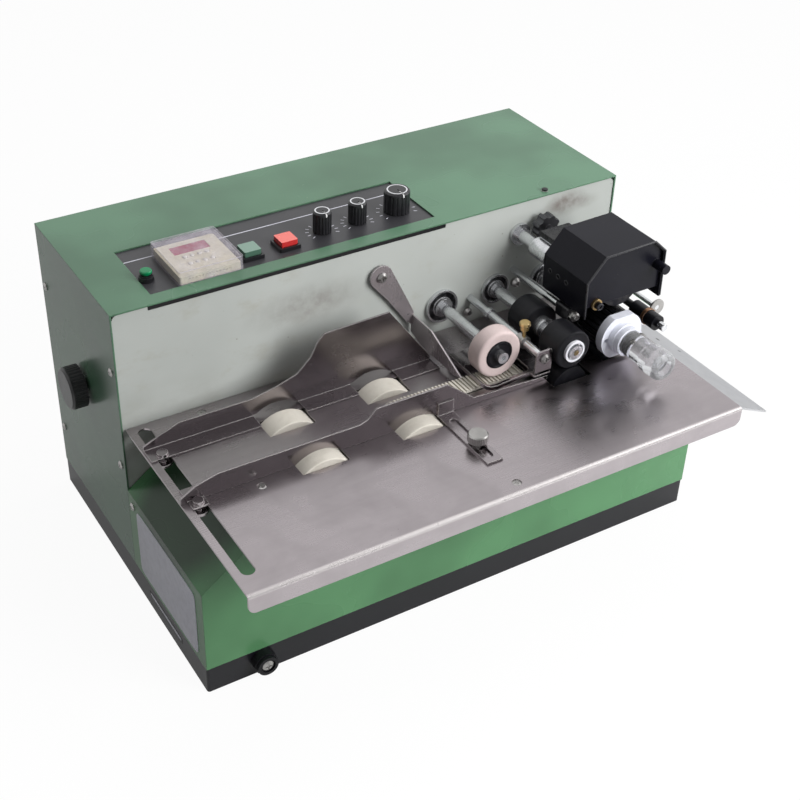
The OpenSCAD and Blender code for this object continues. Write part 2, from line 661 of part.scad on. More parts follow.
// Slotted arm that holds the front guide to the table
arm_x = thumb_x;
module slotted_arm() seat() color(stainless) {
    arm_back = front_y - guide_t;
    difference() {
        translate([arm_x - 6.5, arm_back - 64, table_z + 0.15]) cube([13, 64, 1.5]);
        translate([arm_x, arm_back - 34, table_z - 1]) rotate(90) linear_extrude(4) pill(50, 3);
    }
    translate([arm_x - 6.5, arm_back - 1.5, table_z + 0.15]) cube([13, 1.5, 12]);
}

// Knurled thumb screw through the arm's slot
module thumb_screw() seat() color(steel) translate([thumb_x, thumb_y, 0]) {
    translate([0, 0, table_under - 6]) cylinder(h = 12, r = 2.5);
    translate([0, 0, table_z + 1.95]) cylinder(h = 3.2, r = 4.2);
    translate([0, 0, table_z + 5]) difference() {
        union() { cylinder(h = 5, r = 7.5); translate([0, 0, 5]) cylinder(h = 1, r1 = 7.5, r2 = 6.5); }
        for (a = [0:12:348]) rotate(a) translate([7.8, 0, -1]) cylinder(h = 8, r = 0.6, $fn = 8);
    }
}

// Gate: rounded tab on the panel, and a leaf that stands across the cards' way
leaf_x = cab_w - 190;
leaf_t = 1.2;
module gate_plate() seat() color(stainless) {
    slab_y(-2, -3.6) difference() {
        union() {
            translate([gate_x, gate_z]) circle(9.5);
            polygon([[gate_x - 7.6, gate_z - 5.7], [gate_x + 7.8, gate_z + 5.4],
                     [leaf_x + leaf_t, table_z + 28],
                     [leaf_x + leaf_t, table_z + 15], [leaf_x - 5, table_z + 20],
                     [gate_x + 6, gate_z - 22]]);
        }
        translate([gate_x, gate_z]) circle(2 + run);
    }
    translate([leaf_x, 0, 0]) rotate([90, 0, 90]) linear_extrude(leaf_t) polygon([
        [-2, table_z + 9], [-20, table_z + 4.4], [-64, table_z + 4.4], [-72, table_z + 7.5],
        [-30, table_z + 24.8], [-2, table_z + 24.8]]);
}

// Card plate under the separating wheel, with the ear that the guide rod holds
module guide_plate() seat() color(stainless) {
    t = 1;
    left = sep_x - 30;
    right = rod_x + 4.5;
    z0 = card_z + 1;
    difference() {
        union() {
            slab_y(-57, -84)
                polygon([[left + 14, z0 + 1], [left + 16, z0], [sep_x + 14, z0], [rod_x - 7, z0 + 5.4],
                     [right, z0 + 5.4], [right, z0 + 5.4 + t], [rod_x - 7.4, z0 + 5.4 + t],
                     [sep_x + 13.6, z0 + t],
                     [left + 16.4, z0 + t], [left + 14.4, z0 + 2]]);
            slab_y(-77, -84)
                polygon([[left, z0 + 17], [left + 5, z0 + 9], [left + 10, z0 + 3.6], [left + 14, z0 + 1],
                     [left + 14.4, z0 + 2], [left + 10.8, z0 + 4.4], [left + 5.9, z0 + 9.6], [left + 1, z0 + 17.4]]);
        }
        translate([sep_x - 12.5, sep_y - sep_w - 0.8, z0 - 1]) cube([25, sep_w + 1.4, 4]);
        translate([rod_x - 10.5, -76, z0]) cube([12, 12, 12]);
    }
    translate([rod_x - 9.5, -98.2, z0 + 5.4]) cube([right - rod_x + 9.5, 14.3, t]);
    slab_y(-97, -98.2) difference() {
        translate([rod_x - 9.5, z0 + 5.4]) union() {
            square([right - rod_x + 9.5, 13]);
            translate([3, 12.9]) square([right - rod_x + 3.5, 4]);
        }
        translate([rod_x, rod_z]) circle(1.6);
    }
}

// Feed shafts, each with two hubs and its pulleys
module feed_shaft(x) {
    bar_y(x, feed_z, plane_b + pulley_w + 3, front_bearing_y - 4.5, shaft_r);
    for (y = feed_y) bar_y(x, feed_z, y + feed_w / 2 + 0.6, y - feed_w / 2 - 0.6, hub_r);
    for (y = [plane_a, plane_b]) pulley(x, feed_z, y, feed_pulley_r);
}
module feed_shaft_left() seat() color(steel) feed_shaft(feed_x[0]);
module feed_shaft_right() seat() color(steel) {
    feed_shaft(feed_x[1]);
    bar_y(feed_x[1], feed_z, belt_y + belt_w / 2 - 0.5, belt_y - belt_w / 2 + 0.5, belt_pulley_r);
}
module feed_wheels(x) for (y = feed_y) tyre(x, feed_z, y + feed_w / 2, y - feed_w / 2, feed_r, hub_r, 1);
module feed_wheels_left() seat() color(cream) feed_wheels(feed_x[0]);
module feed_wheels_right() seat() color(cream) feed_wheels(feed_x[1]);
module idler_pulley() seat() color(steel) {
    bar_y(idler_x, idler_z, panel_t + 4, front_bearing_y - 4.5, 3);
    bar_y(idler_x, idler_z, belt_y + belt_w / 2 - 0.5, belt_y - belt_w / 2 + 0.5, idler_r);
}

// Separating wheel: soft tyre, black hub and polished shaft
module sep_tyre() seat() color("#e3cfca") tyre(sep_x, sep_z, sep_y, sep_y - sep_w, sep_r, 10.5, 3);
module sep_hub() seat() color(black) difference() {
    bar_y(sep_x, sep_z, sep_y + 1, sep_y - sep_w + 0.6, 10.5);
    bar_y(sep_x, sep_z, sep_y - sep_w + 2.6, sep_y - sep_w - 1, 8.6);
    bar_y(sep_x, sep_z, sep_y + 3, sep_y - sep_w - 3, 4.5);
}
module socket_bolt(x, z, y, r, h) difference() {
    bar_y(x, z, y, y - h, r);
    translate([x, y - h + 1.6, z]) rotate([90, 0, 0]) cylinder(h = 3, r = r * 0.5, $fn = 6);
}
module sep_shaft() seat() color(steel) {
    bar_y(sep_x, sep_z, panel_t + 12, sep_y - sep_w, 4.5);
    bar_y(sep_x, sep_z, panel_t + 8, panel_t + 3, 8);
    socket_bolt(sep_x, sep_z, sep_y - sep_w, 4.5, 3);
}

// Pinch rollers over the driven rollers
pinch_y = [[-40, -62], [-80, -103]];
module pinch_shaft() seat() color(steel) {
    bar_y(pinch_x, pinch_z, panel_t + 12, -104, 5);
    bar_y(pinch_x, pinch_z, panel_t + 8, panel_t + 3, 8);
    bar_y(pinch_x, pinch_z, -62, -69, 8);
    difference() {
        bar_y(pinch_x, pinch_z, -103, -104.4, 8.6);
        bar_y(pinch_x, pinch_z, -103.6, -105, 7);
    }
    socket_bolt(pinch_x, pinch_z, -104, 5.6, 2.6);
}
module pinch_rollers() seat() color(rubber)
    for (y = pinch_y) tyre(pinch_x, pinch_z, y[0], y[1], pinch_r, 5, 1.5);
module transport_roller() seat() {
    color(steel) {
        bar_y(pinch_x, transport_z, plane_b + pulley_w + 3, front_bearing_y - 4.5, shaft_r);
        pulley(pinch_x, transport_z, plane_a, transport_pulley_r);
        pulley(pinch_x, transport_z, plane_b, transport_pulley_b_r);
    }
    color(rubber) for (y = pinch_y) bar_y(pinch_x, transport_z, y[0], y[1], transport_r);
}

// Spur gear with straight-sided teeth
gear_m = (print_z - backing_z) / 20;
module gear_outline(teeth, turn) {
    r = teeth * gear_m / 2;
    step = 360 / teeth;
    profile = [[r - 1.25 * gear_m, 0.88], [r, 0.66], [r + 0.95 * gear_m, 0.26]];
    side = [for (q = profile) [q[0], q[1] * gear_m / q[0] * 180 / PI]];
    polygon([for (i = [0:teeth - 1], k = [0:5]) let(
        q = k < 3 ? side[k] : side[5 - k],
        a = turn + i * step + (k < 3 ? -q[1] : q[1])) q[0] * [cos(a), sin(a)]]);
}

// Printing drum: T slots for the type all round, set on a polished shaft
drum_y = [-52, -94];
module print_shaft() seat() color(steel) {
    bar_y(print_x, print_z, plane_b + pulley_w + 3, hub_end_y, 6);
    bar_y(print_x, print_z, plane_a - 0.4, panel_t + 1.9, 9);
    bar_y(print_x, print_z, -8, drum_y[0] + 2, 8);
    slab_y(plane_a + pulley_w, plane_a) translate([print_x, print_z]) gear_outline(25, -90);
    pulley(print_x, print_z, plane_b, print_pulley_r);
}
module print_drum() seat() color(black)
    slab_y(drum_y[0], drum_y[1]) translate([print_x, print_z]) difference() {
    circle(drum_r, $fn = 96);
    circle(6);
    for (i = [0:drum_slots - 1]) rotate(i * 360 / drum_slots) {
        translate([drum_r - 3, -0.7]) square([4, 1.4]);
        translate([drum_r - 3.4, -1.2]) square([1.4, 2.4]);
    }
}
flange_y = drum_y[1];
hub_end_y = flange_y - 17;
module drum_flange() seat() color("#eeeef0") difference() {
    union() {
        slab_y(flange_y, flange_y - 7) translate([print_x, print_z]) intersection() {
            circle(drum_r + 1.6, $fn = 96);
            square([60, 2 * drum_r - 1], center = true);
        }
        bar_y(print_x, print_z, flange_y - 7, flange_y - 12, 13);
        bar_y(print_x, print_z, flange_y - 12, hub_end_y, 12);
    }
    bar_y(print_x, print_z, flange_y + 1, flange_y - 20, 6);
    for (s = [-1, 1]) bar_y(print_x + s * 14.8, print_z, flange_y + 1, flange_y - 9, 1.8);
}
module drum_knob() seat() color([0.85, 0.87, 0.9, 0.5])
    translate([print_x, hub_end_y, print_z]) rotate([90, 0, 0])
    rotate_extrude($fn = 72) difference() {
        union() {
            square([10, 21]);
            translate([7, 24]) circle(4.5, $fn = 32);
            translate([7, 36]) circle(4.5, $fn = 32);
            translate([7, 24]) square([4.5, 12]);
            translate([0, 19.5]) square([7, 21]);
        }
        translate([-1, 34]) square([7.4, 8]);
        translate([-20, -1]) square([20, 60]);
    }
module backing_roller() seat() {
    color(steel) {
        bar_y(print_x, backing_z, plane_b + pulley_w + 3, front_bearing_y - 4.5, 3.5);
        pulley(print_x, backing_z, plane_b, backing_pulley_r);
        slab_y(plane_a + pulley_w, plane_a) translate([print_x, backing_z]) gear_outline(15, 102);
    }
    color(rubber) bar_y(print_x, backing_z, drum_y[0] - 2, drum_y[1] + 2, backing_r);
}

// Ink head: folded cover, inner frame with the heater, front plate and ink roller
head_y = [-43, -95];
module head_outline(inset) {
    x0 = cab_w - 98.8;
    x1 = cab_w - 25.5;
    k = inset * 0.45;
    polygon([[x0 + 1 + inset, table_z + 44 - (inset > 0 ? 2 : 0)], [x0 + inset, table_z + 73 - k],
             [x0 + 15.6 + k, table_z + 91.5 - inset], [x0 + 61 - k, table_z + 92.5 - inset],
             [x1 - 1 - inset, table_z + 82 - k], [x1 - inset, table_z + 42 - (inset > 0 ? 2 : 0)]]);
}
module ink_cover() seat() color(black) difference() {
    slab_y(head_y[0], head_y[1]) head_outline(0);
    slab_y(head_y[0] + 1, head_y[1] - 1) head_outline(1.5);
    for (y = [-51, -61, -71])
        translate([cab_w - 101, y, table_z + 62]) rotate([0, 90, 0]) cylinder(h = 5, r = 1.6);
}
module ink_frame() seat() color("#b9bcc0") {
    difference() {
        union() {
            slab_y(head_y[0] - 1, head_y[0] - 4) head_outline(1.5);
            slab_y(-24, head_y[0] - 1) translate([pivot_x + 2, pivot_z - 6]) square([27, 19]);
            bar_y(pivot_x, pivot_z, -24, head_y[0] + 0.05, 8);
            bar_y(pivot_x + 1.2, pivot_z, head_y[0] - 4, head_y[0] - 16, 6.6);
        }
        bar_y(pivot_x, pivot_z, -20, -90, 5 + run);
        bar_y(star_x, star_z, -20, -50, 3 + run);
        bar_y(ink_x, print_z, -40, -60, drum_r + 8);
    }
    bar_y(ink_x, ink_z, head_y[0] - 3, -89, 4);
    for (y = [[-50, -88], [head_y[0] - 4, -50]])
        slab_y(y[0], y[1]) translate([ink_x, ink_z]) intersection() {
        difference() { circle(ink_r + 3.5); circle(ink_r + 0.8); }
        translate([-30, 2]) square([60, 40]);
    }
}
module ink_plate() seat() color(black) {
    slab_y(head_y[1] + 4, head_y[1] + 2.5) intersection() {
        head_outline(1.5);
        translate([0, table_z + 50]) square([cab_w, 100]);
    }
    bar_y(cab_w - 32, table_z + 71, head_y[1] + 2.5, head_y[1] - 9.5, 3.8);
}
module ink_roller() seat() color("#1a1a1d") difference() {
    bar_y(ink_x, ink_z, -69 + ink_w / 2, -69 - ink_w / 2, ink_r);
    bar_y(ink_x, ink_z, -40, -100, 4 + run);
}

// Star knob that clamps the head, its screw runs in the head's block
module star_knob() seat() color("#3b3d40") {
    bar_y(star_x, star_z, -12, -40, 3);
    slab_y(-5, -13) translate([star_x, star_z]) difference() {
        circle(10.5);
        for (a = [0:45:315]) rotate(a) translate([12, 0]) circle(3.2);
    }
}

// Outlet roller: black sleeve on a thin shaft
module exit_roller() seat() {
    color(steel) {
        bar_y(exit_x, exit_z, plane_b + pulley_w + 3, -105, 3);
        pulley(exit_x, exit_z, plane_b, exit_pulley_r);
    }
    color(black) bar_y(exit_x, exit_z, -70, -97, exit_r);
}

base_tray();
front_bumper();
lower_box();
cabinet_cover();
back_panel();
front_panel();
work_table();
delivery_chute();
control_panel();
counter_body();
counter_window();
counter_keypad();
switch_bezels();
power_inlet();
flange_bearings();
panel_rods();
guide_plate();
gear_motor();
control_board();
timing_belts();
feed_belt();
shaft_bracket();
screws();
zero_button();
start_button();
stop_button();
speed_knob();
heat_knob();
delay_knob();
counter_cover();
handwheel();
output_pulley();
rear_guide();
front_guide();
slotted_arm();
thumb_screw();
gate_plate();
feed_shaft_left();
feed_wheels_left();
feed_shaft_right();
feed_wheels_right();
idler_pulley();
sep_tyre();
sep_hub();
sep_shaft();
pinch_shaft();
pinch_rollers();
transport_roller();
print_shaft();
print_drum();
drum_flange();
drum_knob();
backing_roller();
ink_cover();
ink_frame();
ink_plate();
ink_roller();
star_knob();
exit_roller();
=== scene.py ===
"""Looks of the date coding machine: finishes for every piece of the fixed frame, the small turned
and folded pieces that the frame leaves plain, and the studio round them."""
import math

import bmesh
import bpy
import numpy as np
from bpy.props import FloatProperty, FloatVectorProperty, PointerProperty
from bpy.types import Operator, Panel, PropertyGroup
from mathutils import Matrix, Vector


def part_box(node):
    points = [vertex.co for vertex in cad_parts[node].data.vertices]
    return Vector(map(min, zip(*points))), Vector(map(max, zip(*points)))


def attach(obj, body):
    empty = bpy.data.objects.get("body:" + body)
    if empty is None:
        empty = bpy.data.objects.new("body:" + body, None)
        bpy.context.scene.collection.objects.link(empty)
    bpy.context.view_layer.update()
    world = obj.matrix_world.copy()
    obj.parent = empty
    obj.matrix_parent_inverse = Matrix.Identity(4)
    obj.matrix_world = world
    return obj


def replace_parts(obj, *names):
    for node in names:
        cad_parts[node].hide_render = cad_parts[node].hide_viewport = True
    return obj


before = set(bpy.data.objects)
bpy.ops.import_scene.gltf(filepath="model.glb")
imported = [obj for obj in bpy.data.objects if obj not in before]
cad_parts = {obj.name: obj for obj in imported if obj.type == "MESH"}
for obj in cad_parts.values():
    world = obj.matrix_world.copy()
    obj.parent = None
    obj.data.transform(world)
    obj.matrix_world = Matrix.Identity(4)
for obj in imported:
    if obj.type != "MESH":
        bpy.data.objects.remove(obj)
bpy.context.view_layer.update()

bl_info = {
    "name": "Card coder looks",
    "version": (1, 0, 0),
    "blender": (4, 5, 0),
    "location": "View3D > Sidebar > Coder",
    "description": "Paints a bench card coder and adds its small turned and folded pieces",
    "category": "Object",
}

MM = 0.001
ORIGIN = np.array([215.0, 9.0, 0.0])  # the frame's origin in the machine's millimetres
UP, LEFT, FRONT = (0, 0, 1), (-1, 0, 0), (0, -1, 0)

# Shafts and a rod along y, each as x and z in the machine's millimetres
FEED_LEFT, FEED_RIGHT, SEPARATOR = (107, 126), (187, 126), (268.3, 169.8)
ROD, PINCH, PRINT, BACKING = (296.0, 168.5), (318.4, 171.3), (366, 168), (405, 165)


def at(x, y, z):
    """A place in metres from the machine's millimetres: x from the cabinet's left side, y from the grey
    panel's face and negative in front of it, z from the bench."""
    return (np.array([x, y, z]) - ORIGIN) * MM


def on(axis, y):
    """The place on an axis along y, given as x and z in the machine's millimetres."""
    return at(axis[0], y, axis[1])


def in_frame(axis):
    """x and z of an axis along y in the millimetres that shaders measure."""
    return on(axis, 0.0)[[0, 2]] / MM


def measured(place):
    """The machine's millimetres of a place in metres."""
    return np.array(place) / MM + ORIGIN


def middle(node):
    """The centre of a frame node's box."""
    return np.mean(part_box(node), axis=0)


def linear(red, green, blue):
    """A colour written as 0 to 255 on screen, as the light values that shaders take."""
    screen = np.array([red, green, blue]) / 255.0
    light = np.where(screen <= 0.04045, screen / 12.92, ((screen + 0.055) / 1.055) ** 2.4)
    return tuple(light.tolist())


def scaled(colour, share, lift=0.0):
    """A colour times share, plus lift."""
    return tuple(min(1.0, c * share + lift) for c in colour)


# ------------------------ shader sums

class Wire:
    """A shader socket that takes part in Python sums. Each sum adds its own Math node."""

    def __init__(self, finish, socket):
        self.finish, self.socket = finish, socket

    def sum(self, operation, first, second):
        return self.finish.node("ShaderNodeMath", {"operation": operation}, {0: first, 1: second})

    def __add__(self, other): return self.sum("ADD", self, other)
    def __radd__(self, other): return self.sum("ADD", other, self)
    def __sub__(self, other): return self.sum("SUBTRACT", self, other)
    def __rsub__(self, other): return self.sum("SUBTRACT", other, self)
    def __mul__(self, other): return self.sum("MULTIPLY", self, other)
    def __truediv__(self, other): return self.sum("DIVIDE", self, other)
    def __pow__(self, other): return self.sum("POWER", self, other)
    def __mod__(self, other): return self.sum("FLOORED_MODULO", self, other)
    def __gt__(self, other): return self.sum("GREATER_THAN", self, other)
    def __abs__(self): return self.sum("ABSOLUTE", self, 0.0)

    def most(self, other): return self.sum("MAXIMUM", self, other)
    def least(self, other): return self.sum("MINIMUM", self, other)

    def rise(self, low, high, start=0.0, end=1.0):
        """Smoothly from start, where this value is low, to end, where it is high."""
        return self.finish.node("ShaderNodeMapRange", {"interpolation_type": "SMOOTHSTEP"},
                                {0: self, 1: low, 2: high, 3: start, 4: end})

    def near(self, centre, half, soft):
        """1 within half of centre, falling to 0 over soft."""
        return abs(self - centre).rise(half, half + soft, 1.0, 0.0)


class Shading:
    """A tree of shader nodes, and the one way in which nodes join it."""

    def __init__(self, tree):
        self.tree = tree
        tree.nodes.clear()

    def put(self, value, socket):
        if isinstance(value, Wire):
            self.tree.links.new(value.socket, socket)
        elif isinstance(value, (tuple, list)) and len(value) == 3 and socket.type == "RGBA":
            socket.default_value = (*value, 1.0)
        else:
            socket.default_value = value

    def node(self, kind, settings, inputs, out=0):
        """Adds a node: its settings first, then the values or links of its sockets. Gives one output."""
        made = self.tree.nodes.new(kind)
        for key, value in settings.items():
            setattr(made, key, value)
        for key, value in inputs.items():
            self.put(value, made.inputs[key])
        return Wire(self, made.outputs[out])

    def direct(self):
        """Two switches. The first is 1 for rays from the camera, off metal and through glass, and 0 for the
        light that falls on matt surfaces. The second is 1 for rays off metal alone."""
        camera, glossy, through = (self.node("ShaderNodeLightPath", {}, {}, f"Is {kind} Ray")
                                   for kind in ("Camera", "Glossy", "Transmission"))
        return (camera + glossy + through).least(1.0), glossy

    def axes(self, vector):
        """x, y and z of a vector."""
        return [self.node("ShaderNodeSeparateXYZ", {}, {0: vector}, i) for i in range(3)]


class Finish(Shading):
    """One material: a Principled shader, and the nodes that lead to it."""

    def __init__(self, name, **constants):
        self.material = bpy.data.materials.new(name)
        self.material.use_nodes = True
        super().__init__(self.material.node_tree)
        self.output = self.tree.nodes.new("ShaderNodeOutputMaterial")
        self.shader = self.tree.nodes.new("ShaderNodeBsdfPrincipled")
        self.tree.links.new(self.shader.outputs[0], self.output.inputs[0])
        for key, value in constants.items():
            self.put(value, self.shader.inputs[key.replace("_", " ")])
        self.place = self.node("ShaderNodeTexCoord", {}, {}, "Object")
        self.bevels = {}

    def set(self, **sockets):
        """Links or values for the shader's own sockets, such as Base_Color=."""
        for key, value in sockets.items():
            self.put(value, self.shader.inputs[key.replace("_", " ")])
        return self

    def mix(self, factor, first, second):
        """A colour between two colours."""
        return self.node("ShaderNodeMix", {"data_type": "RGBA"}, {0: factor, 6: first, 7: second}, 2)

    def spot(self, size, centre=(0.0, 0.0, 0.0)):
        """Object coordinates in metres, moved to centre, then measured in units of size."""
        moved = self.node("ShaderNodeVectorMath", {"operation": "SUBTRACT"},
                          {0: self.place, 1: tuple(float(v) for v in centre)})
        return self.node("ShaderNodeMapping", {"vector_type": "TEXTURE"},
                         {"Vector": moved, "Scale": tuple(float(v) for v in size)})

    def millimetres(self):
        """x, y and z of Object coordinates in millimetres."""
        return self.axes(self.spot((MM, MM, MM)))

    def cloud(self, size, detail, rough=0.55, stretch=(1, 1, 1), seed=0.0, twist=0.0):
        """Soft noise from 0 to 1 whose lumps are about size metres, longer where stretch is above 1."""
        where = self.spot([size * s for s in stretch], (seed, seed * 0.7, -seed * 1.3))
        return self.node("ShaderNodeTexNoise", {}, {"Vector": where, "Scale": 1.0, "Detail": detail,
                                                    "Roughness": rough, "Distortion": twist})

    def specks(self, size, share, seed=0.0):
        """1 on small round specks, one in most cells of size metres, 0 between them."""
        where = self.spot((size, size, size), (seed, -seed, seed * 0.4))
        far = self.node("ShaderNodeTexVoronoi", {}, {"Vector": where, "Scale": 1.0}, "Distance")
        return far.rise(share * 0.6, share, 1.0, 0.0)

    def blot(self, where, radii, low=0.6):
        """1 deep inside an ellipsoid of radii mm about a place, falling to 0 at its skin."""
        far = self.node("ShaderNodeVectorMath", {"operation": "LENGTH"},
                        {0: self.spot([r * MM for r in radii], where)}, "Value")
        return far.rise(low, 1.0, 1.0, 0.0)

    def rounded(self, radius):
        """The normal with its edges rounded to radius metres. One node serves every use of that radius."""
        if radius not in self.bevels:
            self.bevels[radius] = self.node("ShaderNodeBevel", {"samples": 3}, {"Radius": radius})
        return self.bevels[radius]

    def worn(self, radius, sharp):
        """1 along outer edges, 0 on flat faces."""
        flat = self.node("ShaderNodeNewGeometry", {}, {}, "Normal")
        turn = self.node("ShaderNodeVectorMath", {"operation": "DOT_PRODUCT"},
                         {0: self.rounded(radius), 1: flat}, "Value")
        return (1.0 - turn).rise(0.01, sharp)

    def bump(self, height, depth, strength, normal=None):
        """A Bump node: height from 0 to 1 stands for depth metres."""
        inputs = {"Height": height, "Distance": depth, "Strength": strength}
        if normal is not None:
            inputs["Normal"] = normal
        return self.node("ShaderNodeBump", {}, inputs)


def length(first, second):
    """Length of a flat vector from its two parts, which are wires."""
    return (first * first + second * second) ** 0.5


# ------------------------ finishes

def enamel(name, colour, gloss=0.24, edge=(0.2, 0.32, 0.22), painted_shade_at=()):
    """Stoved enamel on folded sheet: faint orange peel, dust specks, rubbed edges. painted_shade_at darkens it
    with painted shade where light hardly gets in; each is a place and its radii in mm."""
    dark, round_by = 0.8, 0.8 * MM
    f = Finish(name, Specular_IOR_Level=0.34)
    drift = f.cloud(0.09, 2.0)
    base = f.mix(drift.rise(0.3, 0.7), scaled(colour, dark), scaled(colour, (2.0 - dark) * 0.93))
    dust = f.specks(7 * MM, 0.06) * f.cloud(0.03, 1.0, seed=0.4).rise(0.5, 0.62)
    base = f.mix(dust * 0.45, base, scaled(colour, 0.35))
    scuff = f.cloud(0.004, 4.0, 0.7, (1, 1, 0.25), 0.3).rise(0.68, 0.8)
    scuff = scuff * f.cloud(0.06, 1.0, seed=0.9).rise(0.5, 0.7)
    rub = f.worn(round_by, 0.2) * f.cloud(0.011, 4.0, 0.7, seed=0.2).rise(0.42, 0.7, 0.25, 1.0)
    base = f.mix(rub * 0.55, base, edge)
    base = f.mix(scuff * 0.12, base, (0.5, 0.55, 0.5))
    # Painted shade: each place in painted_shade_at is darkened nearly to black.
    for where, radii in painted_shade_at:
        base = f.mix(f.blot(where, radii) * 0.92, base, scaled(colour, 0.12))
    peel = f.cloud(1.6 * MM, 1.0, 0.4)
    return f.set(Base_Color=base, Roughness=drift * 0.06 + scuff * 0.2 + gloss,
                 Normal=f.bump(peel, 0.012 * MM, 0.6, f.rounded(round_by)))


def grey_panel_paint(name, colour):
    """Matt grey enamel: faint stains, darker towards the table, brown stains, painted shadows, specks."""
    # The patches at x 400 and 344 are brown stains; those at x 330 and 382 by the head, and the wide one round x
    # 150 behind the rear guide, are painted shadow.
    stains_and_shadows = ((at(400, 0, 227), (20, 9, 8), 0.34), (at(344, 0, 217), (13, 9, 8), 0.16),
              (at(330, 0, 204), (9, 9, 4), 0.14), (at(150, 0, 206), (62, 9, 22), 0.42),
              (at(382, 0, 230), (26, 9, 14), 0.75))  # place, radii in mm, strength
    table_z, darkening_top = 147.0, 186.0
    f = Finish(name, Specular_IOR_Level=0.2)
    height = f.millimetres()[2]
    drift = f.cloud(0.12, 3.0, 0.6)
    base = f.mix(drift.rise(0.3, 0.72), scaled(colour, 0.93), scaled(colour, 1.05))
    stain = f.cloud(0.035, 5.0, 0.62, (1, 1, 0.6), 0.7).rise(0.53, 0.75)
    stain = stain * f.cloud(0.16, 1.0, seed=0.33).rise(0.4, 0.62)
    base = f.mix(stain * 0.28, base, linear(150, 140, 118))
    # Darker towards the table in cloudy patches, up to darkening_top.
    low_darkening = height.rise(table_z, darkening_top, 1.0, 0.0)
    low_darkening = low_darkening * f.cloud(0.05, 4.0, 0.6, (1, 1, 0.5), 0.15).rise(0.35, 0.75)
    base = f.mix(low_darkening * 0.3, base, linear(128, 124, 112))
    for where, radii, share in stains_and_shadows:
        stain_and_shadow = f.blot(where, radii, 0.1) * f.cloud(0.012, 4.0, 0.6, seed=0.44).rise(0.3, 0.7, 0.4, 1.0)
        base = f.mix(stain_and_shadow * share, base, linear(84, 62, 54))
    dots = f.specks(9 * MM, 0.075, 0.21) * f.cloud(0.05, 2.0, seed=0.5).rise(0.53, 0.62)
    base = f.mix(dots * 0.7, base, linear(96, 84, 66))
    peel = f.cloud(1.1 * MM, 2.0, 0.5)
    return f.set(Base_Color=base, Roughness=0.56 + stain * 0.15 + drift * 0.08,
                 Normal=f.bump(peel, 0.012 * MM, 0.6, f.rounded(0.6 * MM)))


def sheet_steel(name, colour, grain="x", gloss=0.3, smudge=0.35, rim_by=0.3 * MM, marks_at=(), painted_highlight_at=(),
                metal=1.0):
    """Stainless sheet: hairlines along one axis, cloudy hand marks, small nicks and light matt cut edges, partly
    painted highlight. marks_at blackens and painted_highlight_at adds painted highlight; each is a place and
    its radii in mm."""
    long, fine = 60.0, 0.35
    matt_rim = 0.85
    stretch = {"x": (long, fine, fine), "y": (fine, long, fine), "z": (fine, fine, long)}[grain]
    f = Finish(name)
    hair = f.cloud(1.0 * MM, 3.0, 0.7, stretch)
    soft = f.cloud(6.0 * MM, 2.0, 0.6, [s ** 0.5 * 2 for s in stretch], 0.31)
    hand = f.cloud(0.055, 5.0, 0.62, seed=0.12, twist=0.6)
    marks = hand.rise(0.42, 0.68)
    base = f.mix(marks * smudge, colour, scaled(colour, 0.72))
    base = f.mix(hair.rise(0.35, 0.7) * 0.15, base, scaled(colour, 1.25))
    base = f.mix(soft.rise(0.4, 0.75) * 0.18, base, scaled(colour, 0.8))
    nick = f.specks(11 * MM, 0.05, 0.6) * f.cloud(0.04, 1.0, seed=0.8).rise(0.5, 0.6)
    base = f.mix(nick * 0.6, base, (0.16, 0.145, 0.145))
    # Light matt edges: partly the bare cut edge, partly painted highlight; painted_highlight_at adds more painted
    # highlight.
    rim = f.worn(rim_by, 0.4)
    for where, radii in painted_highlight_at:
        rim = rim.most(f.blot(where, radii, 0.2) * 0.62)
    base = f.mix((rim * matt_rim).least(1.0), base, (0.82, 0.79, 0.77))
    for where, radii in marks_at:
        base = f.mix(f.blot(where, radii) * 0.9, base, (0.01, 0.01, 0.01))
    return f.set(Base_Color=base, Metallic=(metal - rim * matt_rim * metal).most(0.0),
                 Roughness=gloss + marks * 0.12 + hair * 0.1 - rim * 0.08,
                 Normal=f.bump(hair, 0.004 * MM, 0.3, f.rounded(rim_by)))


def turned_metal(name, colour, gloss, axis="y", wear=0.4):
    """Turned or plated bar: rings left by the tool, oil film, small scratches and painted highlight on its edges.
    """
    stretch = {"x": (0.3, 8, 8), "y": (8, 0.3, 8), "z": (8, 8, 0.3)}[axis]
    f = Finish(name, Metallic=0.92)
    rings = f.cloud(1.4 * MM, 2.0, 0.5, stretch)
    film = f.cloud(8 * MM, 4.0, 0.6, seed=0.2)
    base = f.mix(film.rise(0.4, 0.75) * wear, colour, scaled(colour, 0.55))
    # Painted highlight: edges lightened towards white, standing in for glints such as those on the drum's ribs.
    base = f.mix(f.worn(0.3 * MM, 0.3) * 0.5, base, (0.9, 0.9, 0.9))
    return f.set(Base_Color=base, Roughness=gloss + film * 0.12 + rings * 0.06,
                 Normal=f.bump(rings, 0.004 * MM, 0.5, f.rounded(0.3 * MM)))


def rubber(name, colour, dust=(0.24, 0.23, 0.22), rough=0.62, dusty=0.25, shine=0.35):
    """Moulded rubber: fine grain, pale dust in patches, edges polished by use."""
    f = Finish(name, Specular_IOR_Level=shine)
    fine = f.cloud(0.7 * MM, 3.0, 0.6)
    patch = f.cloud(0.009, 4.0, 0.62, seed=0.5).rise(0.42, 0.78)
    base = f.mix(patch * dusty, colour, dust)
    base = f.mix(f.worn(0.4 * MM, 0.3) * 0.25, base, scaled(colour, 1.6, 0.02))
    base = f.mix(fine.rise(0.3, 0.7) * 0.2, base, scaled(colour, 0.6))
    return f.set(Base_Color=base, Roughness=rough + patch * 0.12,
                 Normal=f.bump(fine, 0.02 * MM, 0.7, f.rounded(0.4 * MM)))


